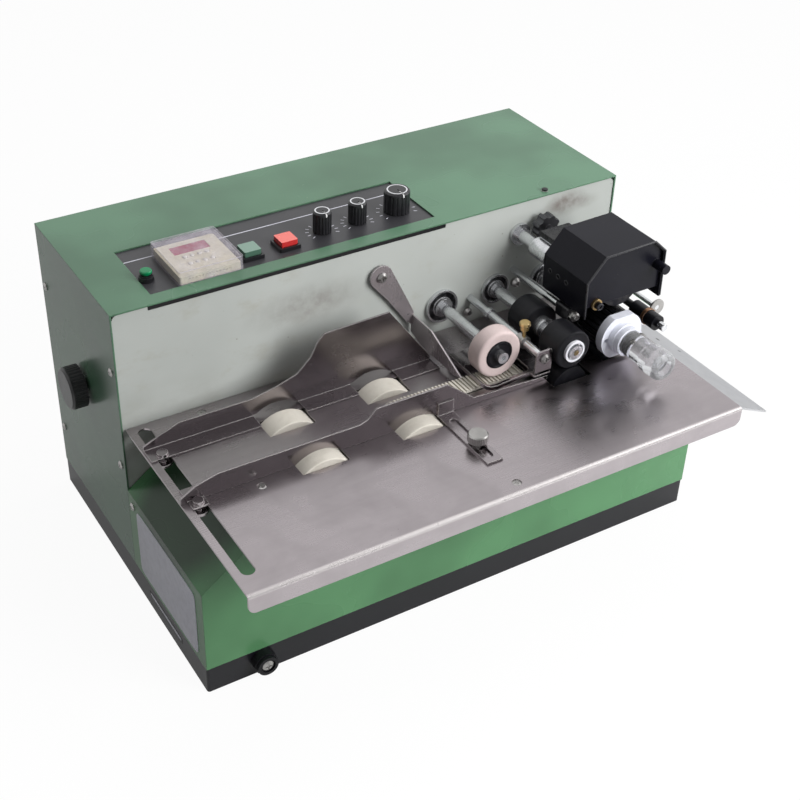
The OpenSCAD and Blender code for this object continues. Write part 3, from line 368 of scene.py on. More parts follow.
def plastic(name, colour, gloss, edge=0.3, second=None, top=None, shine=0.5):
    """Moulded plastic: slight mottling, fine sparkle and brighter rubbed edges. Faces that look up may take
    a lighter colour, top, as painted light from above."""
    f = Finish(name, Specular_IOR_Level=shine)
    mottle = f.cloud(0.006, 3.0, 0.6)
    base = f.mix(mottle.rise(0.35, 0.7) * 0.5, colour, second or scaled(colour, 0.82))
    # Painted light: faces that look up take the lighter top colour.
    if top:
        up = f.axes(f.node("ShaderNodeNewGeometry", {}, {}, "Normal"))[2]
        base = f.mix(up.rise(0.7, 0.95), base, top)
    base = f.mix(f.worn(0.3 * MM, 0.3) * edge, base, scaled(colour, 1.5, 0.05))
    fine = f.cloud(0.5 * MM, 2.0, 0.5)
    return f.set(Base_Color=base, Roughness=gloss + mottle * 0.12,
                 Normal=f.bump(fine, 0.01 * MM, 0.6, f.rounded(0.3 * MM)))


def powder_coat(name, colour):
    """Black powder coat: pebbled skin, grey on folds that is partly rubbing and partly painted highlight, a little
    dust.
    """
    f = Finish(name, Specular_IOR_Level=0.15)
    drift = f.cloud(0.03, 4.0, 0.6)
    dust = f.specks(4 * MM, 0.06, 0.3) * drift.rise(0.45, 0.6)
    base = f.mix(drift.rise(0.4, 0.8) * 0.35, colour, scaled(colour, 1.5, 0.004))
    base = f.mix(dust * 0.5, base, (0.16, 0.15, 0.14))
    # Grey on the folds: partly rubbing, partly painted highlight along the cover's edges.
    rub = f.worn(0.7 * MM, 0.25) * f.cloud(0.006, 4.0, 0.7, seed=0.8).rise(0.35, 0.7, 0.3, 1.0)
    base = f.mix(rub * 0.8, base, (0.16, 0.16, 0.17))
    pebble = f.cloud(0.9 * MM, 2.0, 0.5)
    return f.set(Base_Color=base, Roughness=0.28 + drift * 0.1,
                 Normal=f.bump(pebble, 0.02 * MM, 0.6, f.rounded(0.7 * MM)))


def printed_panel(name, knobs, line_y, line_x):
    """Black anodised plate with a printed line and plain ticks round each knob. knobs: (x, y, ring) in mm."""
    step, arc_end = math.radians(24), 5.6
    f = Finish(name, Specular_IOR_Level=0.5)
    x, y, _ = f.millimetres()
    drift = f.cloud(0.03, 3.0, 0.6)
    base = f.mix(drift.rise(0.35, 0.75) * 0.6, (0.030, 0.030, 0.034), (0.052, 0.050, 0.055))
    ink = y.near(line_y, 0.42, 0.15) * (x > line_x)
    for kx, ky, ring in knobs:
        dx, dy = x - kx, y - ky
        far = length(dx, dy)
        angle = f.node("ShaderNodeMath", {"operation": "ARCTAN2"}, {0: dx, 1: dy}) / step
        tick = abs(((angle + 0.5) % 1.0) - 0.5) * far * step
        arc = abs(angle).rise(arc_end, arc_end + 0.1, 1.0, 0.0)
        ink = ink.most(tick.rise(0.24, 0.4, 1.0, 0.0) * far.near(ring + 1.2, 1.3, 0.12) * arc)
    chips = f.cloud(1.2 * MM, 3.0, 0.7).rise(0.3, 0.42)
    base = f.mix(ink * (chips * 0.3 + 0.65), base, (0.66, 0.66, 0.74))
    return f.set(Base_Color=base, Roughness=0.32 + drift * 0.14,
                 Normal=f.bump(f.cloud(0.7 * MM, 2.0), 0.008 * MM, 0.5))


def pointer_knob(name, knobs, band):
    """Black knobs with a plated ring, band wide, set in the top and a white pointer to the front.
    knobs: (x, y, radius, top) in mm."""
    f = Finish(name, Specular_IOR_Level=0.5)
    x, y, z = f.millimetres()
    plate, line = 0.0, 0.0
    for kx, ky, radius, top in knobs:
        dx, dy = x - kx, y - ky
        far = length(dx, dy)
        near = far.rise(radius + 0.5, radius + 0.6, 1.0, 0.0)
        plate = plate + near * far.near(radius * 0.74, band / 2, 0.12) * z.rise(top - 0.6, top - 0.3)
        ahead = dy.rise(-radius * 0.3, -radius * 0.24, 1.0, 0.0)
        line = line + near * dx.near(0.0, 0.42, 0.12) * ahead * z.rise(top - 3.0, top - 2.6)
    plate, line = plate.least(1.0), line.least(1.0)
    mottle = f.cloud(0.004, 3.0, 0.6)
    base = f.mix(mottle.rise(0.35, 0.7) * 0.5, (0.012, 0.012, 0.014), (0.022, 0.022, 0.025))
    base = f.mix(f.worn(0.3 * MM, 0.3) * 0.3, base, (0.12, 0.12, 0.125))
    base = f.mix(plate, base, (0.8, 0.81, 0.84))
    base = f.mix(line * 0.9, base, (0.8, 0.8, 0.8))
    return f.set(Base_Color=base, Metallic=plate * (1.0 - line), Roughness=0.3 + mottle * 0.1 - plate * 0.16,
                 Normal=f.bump(f.cloud(0.5 * MM, 2.0), 0.008 * MM, 0.6, f.rounded(0.3 * MM)))


def plated_flange(name, flanges):
    """Chrome bearing flanges: an oily dark shield in a bright rim. flanges: (x, z, radius) in mm."""
    f = Finish(name, Metallic=0.84)
    x, _, z = f.millimetres()
    shield = 0.0
    for fx, fz, radius in flanges:
        shield = shield + length(x - fx, z - fz).near(radius * 0.74, radius * 0.13, 0.25)
    film = f.cloud(5 * MM, 4.0, 0.6, seed=0.3)
    shield = shield.least(1.0) * film.rise(0.2, 0.6, 0.75, 1.0)
    base = f.mix(film.rise(0.4, 0.75) * 0.35, (0.74, 0.75, 0.77), (0.4, 0.39, 0.38))
    base = f.mix(shield, base, (0.03, 0.03, 0.033))
    base = f.mix(f.worn(0.4 * MM, 0.3) * 0.6, base, (0.92, 0.92, 0.93))
    return f.set(Base_Color=base, Roughness=0.1 + film * 0.12 + shield * 0.15,
                 Normal=f.bump(film, 0.01 * MM, 0.4, f.rounded(0.4 * MM)))


def sleeve_and_plate(name, axis, radius):
    """Black plate that carries a bright sleeve: metal within radius mm of the axis (x, z)."""
    f = Finish(name, Specular_IOR_Level=0.3)
    x, _, z = f.millimetres()
    bare = length(x - axis[0], z - axis[1]).rise(radius, radius + 0.2, 1.0, 0.0)
    film = f.cloud(6 * MM, 4.0, 0.6)
    base = f.mix(bare, (0.008, 0.008, 0.01), (0.66, 0.67, 0.69))
    base = f.mix(film.rise(0.45, 0.75) * 0.3, base, (0.1, 0.1, 0.1))
    base = f.mix(f.worn(0.4 * MM, 0.3) * 0.4, base, (0.3, 0.3, 0.32))
    return f.set(Base_Color=base, Metallic=bare, Roughness=0.2 + film * 0.15,
                 Normal=f.bump(film, 0.01 * MM, 0.4, f.rounded(0.4 * MM)))


def scuffed_clear(name):
    """Clear moulded cover that use has scratched: milky edges, fine crossing scratches."""
    f = Finish(name, IOR=1.49, Specular_IOR_Level=0.6)
    hair = f.cloud(2 * MM, 4.0, 0.7, (6, 0.25, 1)).rise(0.6, 0.68)
    cross = f.cloud(2 * MM, 4.0, 0.7, (0.25, 5, 1), 0.5).rise(0.62, 0.7)
    haze = f.cloud(0.012, 4.0, 0.6).rise(0.35, 0.75)
    rim = f.worn(0.8 * MM, 0.2)
    clear = (haze * 0.16 + hair * 0.1 + cross * 0.1 + rim * 0.8 + 0.13).least(0.92)
    base = f.mix(haze, linear(196, 190, 204), linear(216, 212, 222))
    return f.set(Base_Color=base, Alpha=clear, Roughness=0.12 + haze * 0.2,
                 Normal=f.bump(hair + cross, 0.01 * MM, 0.4, f.rounded(0.6 * MM)))


def clear_acrylic(name):
    """Solid clear knob: bright, with a few hairs and finger haze."""
    f = Finish(name, IOR=1.36, Transmission_Weight=0.8)
    haze = f.cloud(5 * MM, 4.0, 0.6).rise(0.5, 0.8)
    base = f.mix(haze * 0.4, (0.96, 0.97, 0.99), (0.86, 0.87, 0.9))
    return f.set(Base_Color=base, Roughness=0.02 + haze * 0.12,
                 Normal=f.bump(f.cloud(1.5 * MM, 2.0), 0.01 * MM, 0.3, f.rounded(0.5 * MM)))


# ------------------------ shapes

def ring_faces(n, m):
    """Four-sided faces that join n rings of m points, each ring's last point joined to its first."""
    i, j = np.meshgrid(np.arange(n - 1), np.arange(m), indexing="ij")
    k = (j + 1) % m
    return np.stack([i * m + j, i * m + k, (i + 1) * m + k, (i + 1) * m + j], -1).reshape(-1, 4)


def surface(name, rings, body, finish, sharp=35.0):
    """A skin over rings of points, an array of shape (rings, points, 3). Points that coincide are joined,
    and faces are turned outwards."""
    mesh = bpy.data.meshes.new(name)
    mesh.from_pydata(rings.reshape(-1, 3).tolist(), [], ring_faces(*rings.shape[:2]).tolist())
    skin = bmesh.new()
    skin.from_mesh(mesh)
    bmesh.ops.remove_doubles(skin, verts=skin.verts, dist=2e-6)
    bmesh.ops.dissolve_degenerate(skin, edges=skin.edges, dist=1e-7)
    bmesh.ops.recalc_face_normals(skin, faces=skin.faces)
    skin.to_mesh(mesh)
    skin.free()
    mesh.shade_smooth()
    mesh.set_sharp_from_angle(angle=math.radians(sharp))
    mesh.materials.append(finish.material)
    piece = bpy.data.objects.new(name, mesh)
    bpy.context.scene.collection.objects.link(piece)
    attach(piece, body)
    return piece


def basis(axis):
    """Two directions across an axis, and the axis itself, as unit vectors."""
    along = np.asarray(axis, float) / np.linalg.norm(axis)
    side = np.cross(UP if abs(along[2]) < 0.9 else (0, 1, 0), along)
    side /= np.linalg.norm(side)
    return side, np.cross(along, side), along


def carried(outline, levels, centre, axis):
    """Rings of a profile carried up an axis. outline: (m, 2) points round the middle; levels: (n, 2) of scale
    and height in mm. A point is centre + scale * (outline across the axis) + height * axis."""
    side, up, along = basis(axis)
    outline, levels = np.asarray(outline, float) * MM, np.asarray(levels, float)
    flat = outline[:, :1] * side + outline[:, 1:] * up
    return np.asarray(centre) + levels[:, 0, None, None] * flat + (levels[:, 1] * MM)[:, None, None] * along


def circle(count=64):
    """Points of a circle of radius 1."""
    a = np.linspace(0.0, 2 * np.pi, count, endpoint=False)
    return np.stack([np.cos(a), np.sin(a)], -1)


def rounded_square(half_x, half_y, power, count=96):
    """Points of an oblong whose corners are squarer the higher the power."""
    points = circle(count)
    return np.sign(points) * abs(points) ** (2 / power) * (half_x, half_y)


def turned(radii, heights):
    """Levels of a turned shape, each a radius and a height in mm, closed to the axis at both ends."""
    levels = np.stack([np.asarray(radii, float), np.asarray(heights, float)], -1)
    return np.vstack([[0.0, levels[0, 1]], levels, [0.0, levels[-1, 1]]])


def slug(radius, low, high, soft=0.25):
    """Levels of a solid round whose corners are cut by soft."""
    return turned([radius - soft, radius, radius, radius - soft], [low, low + soft, high - soft, high])


def hoop(outer, inner, low, high):
    """Levels of a ring from inner to outer and from low to high, its upper corners cut."""
    soft = 0.2
    return [[inner, low], [outer, low], [outer, high - soft], [outer - soft, high], [inner + soft, high],
            [inner, high - soft], [inner, low]]


def lathe(name, levels, where, body, finish, axis=FRONT, outline=circle()):
    """A piece turned about an axis through where; with another outline, each level scales that outline."""
    return surface(name, carried(outline, levels, where, axis), body, finish)


def pad(name, half_x, half_y, high, where, body, finish, axis, power, soft=0.25):
    """A flat piece with soft corners, high mm along an axis; half_x and half_y are half its sides."""
    small = 1.0 - soft / min(half_x, half_y)
    levels = turned([1.0, 1.0, small], [0.0, high - soft, high])
    return lathe(name, levels, where, body, finish, axis, rounded_square(half_x, half_y, power))


def card_plate(name, body, finish):
    """The bent sheet under the separating wheel: loops round its edge and its window, each point at the
    sheet's height at that x, in the order top edge, window, folded lip and top edge again."""
    left, sheet_z, thick, lip = 246.8, 152.2, 1.0, 2.4
    run, bend = (0, 3, 7, 12, 17, 23, 30, 57), (4.6, 2.3, 0.8, 0.1, 0.3, 1.1, 2.1, 2.7)

    def ring(cx, cy, half_x, half_y, drop):
        flat = rounded_square(half_x, half_y, 9.0, 160) + (cx, cy)
        height = sheet_z + np.interp(flat[:, 0] - left, run, bend) - drop
        return (np.column_stack([flat, height]) - ORIGIN) * MM

    outer, inside = (274.9, -66.75, 28.1, 25.75), (274.9, -66.75, 27.0, 24.65)
    window = (270.4, -74.4, 20.4, 15.2)
    rings = np.array([ring(*outer, -thick), ring(*window, -thick), ring(*window, 0.0), ring(*inside, 0.0),
                      ring(*inside, lip), ring(*outer, lip), ring(*outer, -thick)])
    return surface(name, rings, body, finish, sharp=50.0)


# ------------------------ sizes and colours

COLOUR = {"subtype": "COLOR", "size": 3, "min": 0, "max": 1}


class CoderPaint(PropertyGroup):
    """Colours of the enamel and the stainless sheet."""
    green: FloatVectorProperty(name="Cabinet green", description="Enamel of the cover and back panel",
                               default=linear(88, 123, 99), **COLOUR)
    # The lower box's green is set brighter than the cover's.
    low_green: FloatVectorProperty(name="Box green", description="Enamel of the lower box, a brighter green",
                                   default=linear(92, 144, 100), **COLOUR)
    grey: FloatVectorProperty(name="Panel grey", description="Enamel of the front panel",
                              default=linear(180, 184, 180), **COLOUR)
    base: FloatVectorProperty(name="Base black", description="Paint of the base tray",
                              default=linear(20, 20, 25), **COLOUR)
    steel: FloatVectorProperty(name="Stainless", description="Colour of the stainless sheet",
                               default=linear(173, 166, 169), **COLOUR)


class CoderControls(PropertyGroup):
    """Sizes of the marks on the control row."""
    ring: FloatProperty(name="Ring width", description="Width of the bright ring on a knob, in mm",
                        default=0.9, min=0.3, max=2.0)
    ticks: FloatProperty(name="Tick circle", description="Gap from a knob to its ticks, in mm",
                         default=3.2, min=1.0, max=6.0)


class CoderStudio(PropertyGroup):
    """Lights and camera."""
    key: FloatProperty(name="Key light", description="Power of the large light on the right",
                       default=27.0, min=0.0, unit="POWER")
    top: FloatProperty(name="Top light", description="Power of the light overhead",
                       default=10.0, min=0.0, unit="POWER")
    sky: FloatProperty(name="Sky", description="Light of the white surroundings on the object",
                       default=0.34, min=0.0, max=2.0, subtype="FACTOR")
    front: FloatProperty(name="Room", description="Brightness in metal of the room in front of the machine",
                         default=0.38, min=0.0, max=1.0, subtype="FACTOR")
    bounce: FloatProperty(name="Bounce", description="Light that the floor throws back on the object",
                          default=0.1, min=0.0, max=1.0, subtype="FACTOR")
    reach: FloatProperty(name="Floor", description="Half width of the floor",
                         default=6.0, min=1.0, unit="LENGTH")
    lens: FloatProperty(name="Lens", description="Focal length in mm on a 36 mm sensor",
                        default=62.39, min=10.0, unit="CAMERA")


# ------------------------ studio

SHOT = 800  # the photograph's width and height in pixels


def placed(columns, where):
    """The matrix of an object at a place, whose own x, y and z point along three columns."""
    rows = [[*row, shift] for row, shift in zip(np.stack(columns, 1), where)]
    return Matrix(rows + [[0, 0, 0, 1]])


def lay_floor(scene, studio):
    """A pale round floor just under the machine. The camera and glass see it white, metal sees it dimmer,
    matt surfaces get a little light back from it, and it keeps the object's shadow."""
    points, gap = 48, 0.3 * MM
    radii = np.array([0.0, 0.3, 0.8, 2.0, studio.reach])
    rings = np.dstack([radii[:, None, None] * circle(points), np.full((radii.size, points), -gap)])
    mesh = bpy.data.meshes.new("floor")
    mesh.from_pydata(rings.reshape(-1, 3).tolist(), [], ring_faces(radii.size, points)[:, ::-1].tolist())
    floor = bpy.data.objects.new("floor", mesh)
    scene.collection.objects.link(floor)
    f = Finish("floor_white", Roughness=0.9, Specular_IOR_Level=0.0)
    direct, glossy = f.direct()
    f.set(Base_Color=f.mix(direct, (studio.bounce,) * 3, (0.9, 0.9, 0.9)))
    glow = f.tree.nodes.new("ShaderNodeEmission")
    glow.inputs[0].default_value = (1, 1, 1, 1)
    blend = f.tree.nodes.new("ShaderNodeMixShader")
    own_light, less_in_metal = 0.95, 0.68
    f.put(direct * own_light - glossy * less_in_metal, blend.inputs[0])
    f.tree.links.new(f.shader.outputs[0], blend.inputs[1])
    f.tree.links.new(glow.outputs[0], blend.inputs[2])
    f.tree.links.new(blend.outputs[0], f.output.inputs[0])
    mesh.materials.append(f.material)


def surround(scene, studio):
    """White surroundings. The camera sees plain white, matt surfaces get light that falls off to the lower
    left, and metal sees a room that darkens towards the front, with a soft box on the right and one above."""
    world = bpy.data.worlds.new("white_surroundings")
    world.use_nodes = True
    w = Shading(world.node_tree)
    x, y, z = w.axes(w.node("ShaderNodeTexCoord", {}, {}, "Generated"))
    direct, glossy = w.direct()
    fall = (x * 0.6 - y * 0.45 + z * 0.66).rise(-0.6, 0.9, studio.sky * 0.78, studio.sky)
    room = (y + z * 0.35 - x * 0.1).rise(-0.35, 0.4, studio.front, 1.0)
    side_box = (x * 0.8 - y * 0.33 + z * 0.5).rise(0.9, 0.96, 0.0, 2.4)
    top_box = (z * 0.96 - x * 0.24 + y * 0.1).rise(0.95, 0.98, 0.0, 0.8)
    light = glossy * (room + (side_box + top_box)) + (direct - glossy) + (1.0 - direct) * fall
    back = w.tree.nodes.new("ShaderNodeBackground")
    back.inputs[0].default_value = (1, 1, 1, 1)
    w.put(light, back.inputs[1])
    out = w.tree.nodes.new("ShaderNodeOutputWorld")
    w.tree.links.new(back.outputs[0], out.inputs[0])
    scene.world = world


def hang_lamps(scene, studio):
    """A large light on the right and one overhead, aimed at the machine and left out of its reflections."""
    aim = np.array([0.0, -0.03, 0.12])
    for name, where, size, power in (("key_light", (0.72, -1.15, 0.85), 0.95, studio.key),
                                     ("top_light", (0.5, 0.1, 1.5), 1.0, studio.top)):
        lamp = bpy.data.lights.new(name, "AREA")
        lamp.size, lamp.energy = size, power
        holder = bpy.data.objects.new(name, lamp)
        holder.matrix_world = placed(basis(np.array(where) - aim), where)
        holder.visible_glossy = False
        scene.collection.objects.link(holder)


def set_camera(scene, studio):
    """The camera fitted to the photograph: a place in metres, angles in degrees, a shift in pixels."""
    place = (-0.47014, -0.76592, 0.74047)
    turn, lift, roll = np.radians([-30.52, 35.30, 0.78])
    shift_x, shift_y = 46.05, -12.88
    back = np.array([np.sin(turn) * np.cos(lift), -np.cos(turn) * np.cos(lift), np.sin(lift)])
    right = np.array([np.cos(turn), np.sin(turn), 0.0])
    up = np.cross(back, right)
    across = np.cos(roll) * right + np.sin(roll) * up
    upward = -np.sin(roll) * right + np.cos(roll) * up
    lens = bpy.data.cameras.new("camera")
    lens.sensor_width, lens.lens = 36.0, studio.lens
    lens.shift_x, lens.shift_y = shift_x / SHOT, shift_y / SHOT
    lens.clip_start = 0.01
    camera = bpy.data.objects.new("camera", lens)
    camera.matrix_world = placed((across, upward, back), place)
    scene.collection.objects.link(camera)
    scene.camera = camera


# ------------------------ operators

def paint_nodes(finish, *nodes):
    """Puts a finish on frame nodes that keep their shape."""
    for node in nodes:
        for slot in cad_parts[node].material_slots:
            slot.material = finish.material


class CODER_OT_stage(Operator):
    """Floor, white surroundings, lamps and the camera at the photograph's place"""
    bl_idname = "coder.stage"
    bl_label = "Stage"

    def execute(self, context):
        studio, scene = context.scene.coder_studio, context.scene
        scene.view_settings.view_transform = "Standard"
        lay_floor(scene, studio)
        surround(scene, studio)
        hang_lamps(scene, studio)
        set_camera(scene, studio)
        return {"FINISHED"}


class CODER_OT_sheet_metal(Operator):
    """Finishes of the cabinet, table and guides, and the small pieces on them"""
    bl_idname = "coder.sheet_metal"
    bl_label = "Cabinet and sheet metal"

    def execute(self, context):
        paint = context.scene.coder_paint
        self.cabinet(paint)
        self.table_and_guides(tuple(paint.steel))
        return {"FINISHED"}

    def cabinet(self, paint):
        """Enamelled covers and tray, with a black strip and a black disc that are painted shade, the bare plate and
        the slot on them.
        """
        # Painted shade on the lower box's top and left shoulder under the table's overhang.
        table_shade = (at(6, -61, 128), (110, 74, 70))
        paint_nodes(enamel("green_enamel", tuple(paint.green)), "cabinet_cover", "back_panel")
        paint_nodes(enamel("green_enamel_low", tuple(paint.low_green), painted_shade_at=(table_shade,)), "lower_box")
        paint_nodes(grey_panel_paint("grey_enamel", tuple(paint.grey)), "front_panel")
        black = plastic("strip_black", (0.006, 0.006, 0.007), 0.4)
        plate = plastic("bare_plate", linear(232, 232, 244), 0.3, edge=0.8)
        # Painted shade: a thin black strip in the gap between the cover's front edge and the grey panel.
        pad("gap_shade_strip", 120.3, 1.35, 3.0, at(148.5, 1.1, 238.3), "cabinet", black, UP, 40.0)
        pad("rating_plate_bare", 50.3, 28.8, 0.6, at(0.0, -65.8, 55.3), "cabinet", plate,
            LEFT, 16.0)
        pad("base_slot", 30.0, 3.0, 0.2, at(0.0, -56.5, 12.4), "cabinet", black,
            LEFT, 6.0, 0.1)
        pad("base_slot_inside", 27.5, 1.4, 0.3, at(0.0, -57.0, 13.4), "cabinet", plate,
            LEFT, 6.0, 0.1)
        # Painted shade: a black disc over a screw stands for the dark of a small hole in the cover's top.
        lathe("cover_hole_shade", slug(2.4, 0.0, 1.9), at(364.0, 5.0, 243.0), "cabinet", black, UP)
        paint_nodes(enamel("base_enamel", tuple(paint.base), gloss=0.3, edge=(0.1, 0.1, 0.11)), "base_tray")

    def table_and_guides(self, steel):
        """Stainless table, guides, gate and chute, and the plate under the separating wheel."""
        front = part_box("work_table")[0][1]
        # Painted highlight along the bend of the table's front lip.
        bend = (np.array([0.0, front + 1.1 * MM, 146 * MM]), (600, 2.6, 2.6))
        paint_nodes(sheet_steel("table_sheet", steel, gloss=0.22, smudge=0.25, painted_highlight_at=(bend,)), "work_table")
        # The guides' wide light rims are partly painted highlight.
        guide = sheet_steel("guide_sheet", scaled(steel, 0.82), gloss=0.14, smudge=0.15, rim_by=0.85 * MM)
        paint_nodes(guide, "rear_guide", "front_guide", "guide_plate", "slotted_arm")
        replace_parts(card_plate("card_plate", "cabinet", guide), "guide_plate")
        pad("card_plate_foot", 7.5, 3.0, 1.2, at(295.5, -95.2, 154.0), "cabinet", guide,
            UP, 16.0, 0.15)
        arc = circle(32)[:9] * 3.0
        foot = [(-8.0, -11.0), (7.0, -11.0)]
        ear = np.vstack([foot, arc + (3.6, 4.6), arc[:, ::-1] * (-1, 1) + (-4.5, 3.8)])
        lathe("card_plate_ear", turned([1.0, 1.0, 0.985], [0.0, 1.0, 1.2]), on(ROD, -97.0), "cabinet", guide,
              outline=ear)
        paint_nodes(sheet_steel("gate_sheet", scaled(steel, 1.15), grain="z", gloss=0.2, rim_by=0.5 * MM,
                                metal=0.7), "gate_plate")
        # Two near-black marks on the chute.
        black_marks = ((at(418.6, -86.5, 140), (1.6, 2.6, 3)), (at(426.8, -104, 138), (2.2, 2.6, 3)))
        paint_nodes(sheet_steel("chute_sheet", linear(196, 197, 200), gloss=0.36, smudge=0.15,
                                marks_at=black_marks), "delivery_chute")


class CODER_OT_control_row(Operator):
    """Control plate, knobs, buttons, counter, handwheel and inlet"""
    bl_idname = "coder.control_row"
    bl_label = "Control row"

    def execute(self, context):
        sizes = context.scene.coder_controls
        knobs = []
        for node in ("speed_knob", "heat_knob", "delay_knob"):
            low, high = np.array(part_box(node)) / MM
            knobs.append(((low[0] + high[0]) / 2, (low[1] + high[1]) / 2, (high[0] - low[0]) / 2, high[2]))
        paint_nodes(pointer_knob("knob_black", knobs, sizes.ring), "speed_knob", "heat_knob", "delay_knob")
        line_x, line_y = at(35.8, 61, 0)[:2] / MM
        rings = [(x, y, radius + sizes.ticks) for x, y, radius, _ in knobs]
        paint_nodes(printed_panel("control_print", rings, line_y, line_x), "control_panel")
        paint_nodes(plastic("bezel_black", (0.012, 0.012, 0.014), 0.28), "switch_bezels", "handwheel",
                    "power_inlet")
        paint_nodes(plastic("zero_green", (0.0, 0.2, 0.07), 0.18, second=(0.0, 0.12, 0.045)), "zero_button")
        # The buttons' lighter tops are painted light.
        paint_nodes(plastic("start_green", linear(74, 106, 90), 0.2, edge=0.8, top=linear(122, 150, 136)),
                    "start_button")
        paint_nodes(plastic("stop_red", linear(196, 52, 52), 0.2, edge=0.8, top=linear(232, 118, 110)),
                    "stop_button")
        paint_nodes(plastic("counter_cream", linear(214, 206, 184), 0.4), "counter_body")
        paint_nodes(plastic("counter_screen", linear(160, 52, 78), 0.15), "counter_window")
        paint_nodes(rubber("counter_keys", linear(226, 222, 214)), "counter_keypad")
        paint_nodes(scuffed_clear("counter_lid"), "counter_cover")
        return {"FINISHED"}


class CODER_OT_rollers(Operator):
    """Wheels, rollers, shafts and belts"""
    bl_idname = "coder.rollers"
    bl_label = "Rollers and belts"

    def execute(self, context):
        bar = turned_metal("bar_steel", (0.72, 0.73, 0.75), 0.14, wear=0.3)
        paint_nodes(bar, "feed_shaft_left", "feed_shaft_right", "sep_shaft", "pinch_shaft", "print_shaft",
                    "panel_rods")
        flanges = ((FEED_LEFT, 11), (FEED_RIGHT, 11), (SEPARATOR, 14),
                   (PINCH, 12.5), (PRINT, 13), (BACKING, 9.5))
        paint_nodes(plated_flange("bearing_chrome", [(*in_frame(axis), radius) for axis, radius in flanges]),
                    "flange_bearings")
        self.pinch_end()
        self.separating_wheel()
        self.outlet_roller(bar)
        cream = rubber("wheel_cream", linear(204, 199, 189), linear(168, 160, 146), 0.55, dusty=0.3)
        paint_nodes(cream, "feed_wheels_left", "feed_wheels_right", "feed_belt")
        paint_nodes(plastic("hub_black", (0.006, 0.006, 0.008), 0.3, shine=0.3), "sep_tyre", "sep_hub",
                    "exit_roller", "idler_pulley", "output_pulley")
        black = rubber("roller_black", (0.007, 0.007, 0.009), (0.07, 0.07, 0.075), 0.42, 0.12, 0.22)
        paint_nodes(black, "pinch_rollers", "transport_roller", "backing_roller", "timing_belts",
                    "front_bumper")
        return {"FINISHED"}

    def pinch_end(self):
        """The bright ring in the pinch roller's end and the six-sided socket in its shaft."""
        bright = plastic("ring_bright", linear(226, 226, 232), 0.2, edge=0.8)
        roller_end = measured(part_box("pinch_rollers")[0])[1]
        shaft_end = measured(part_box("pinch_shaft")[0])[1]
        lathe("pinch_ring", hoop(8.8, 6.9, 0.0, 2.6), on(PINCH, roller_end + 0.2), "pinch", bright)
        lathe("pinch_hex", slug(2.3, 0.0, 0.5, 0.1), on(PINCH, shaft_end), "pinch",
              turned_metal("hex_brass", (0.4, 0.3, 0.16), 0.3), outline=circle(6))

    def separating_wheel(self):
        """Pink tyre with rounded shoulders on a dished black hub, both narrower than the frame's."""
        back = on(measured(middle("sep_hub"))[[0, 2]], -65.2)
        tyre = rubber("tyre_pink", linear(203, 186, 184), linear(178, 160, 154), 0.36, dusty=0.25)
        half = np.array([11.4, 16.6, 18.2, 19.0, 19.2])
        levels = np.stack([np.concatenate([half, half[::-1]]),
                           [0.6, 0.0, 0.4, 1.3, 2.6, 12.2, 13.5, 14.4, 14.8, 14.2]], -1)
        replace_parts(lathe("separator_tyre", np.vstack([levels, levels[:1]]), back, "separator", tyre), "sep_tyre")
        hub = plastic("wheel_hub", (0.006, 0.006, 0.008), 0.26, shine=0.35, edge=0.5)
        levels = turned([4.8, 11.5, 11.5, 10.6, 10.2, 9.6, 9.2, 5.4],
                        [-0.6, -0.6, 14.4, 14.9, 14.9, 14.3, 14.1, 14.1])
        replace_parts(lathe("separator_hub", levels, back, "separator", hub), "sep_hub")

    def outlet_roller(self, bar):
        """The bronze ring on the outlet roller and the tip of its shaft."""
        shaft = measured(middle("exit_roller"))[[0, 2]]
        bronze = turned_metal("bronze", (0.3, 0.16, 0.09), 0.3)
        lathe("exit_ring", hoop(6.9, 3.0, 0.0, 3.0), on(shaft, -84.0), "exit_roller", bronze)
        lathe("exit_tip", slug(3.1, 0.0, 6.0, 0.4), on(shaft, -99.3), "exit_roller", bar)


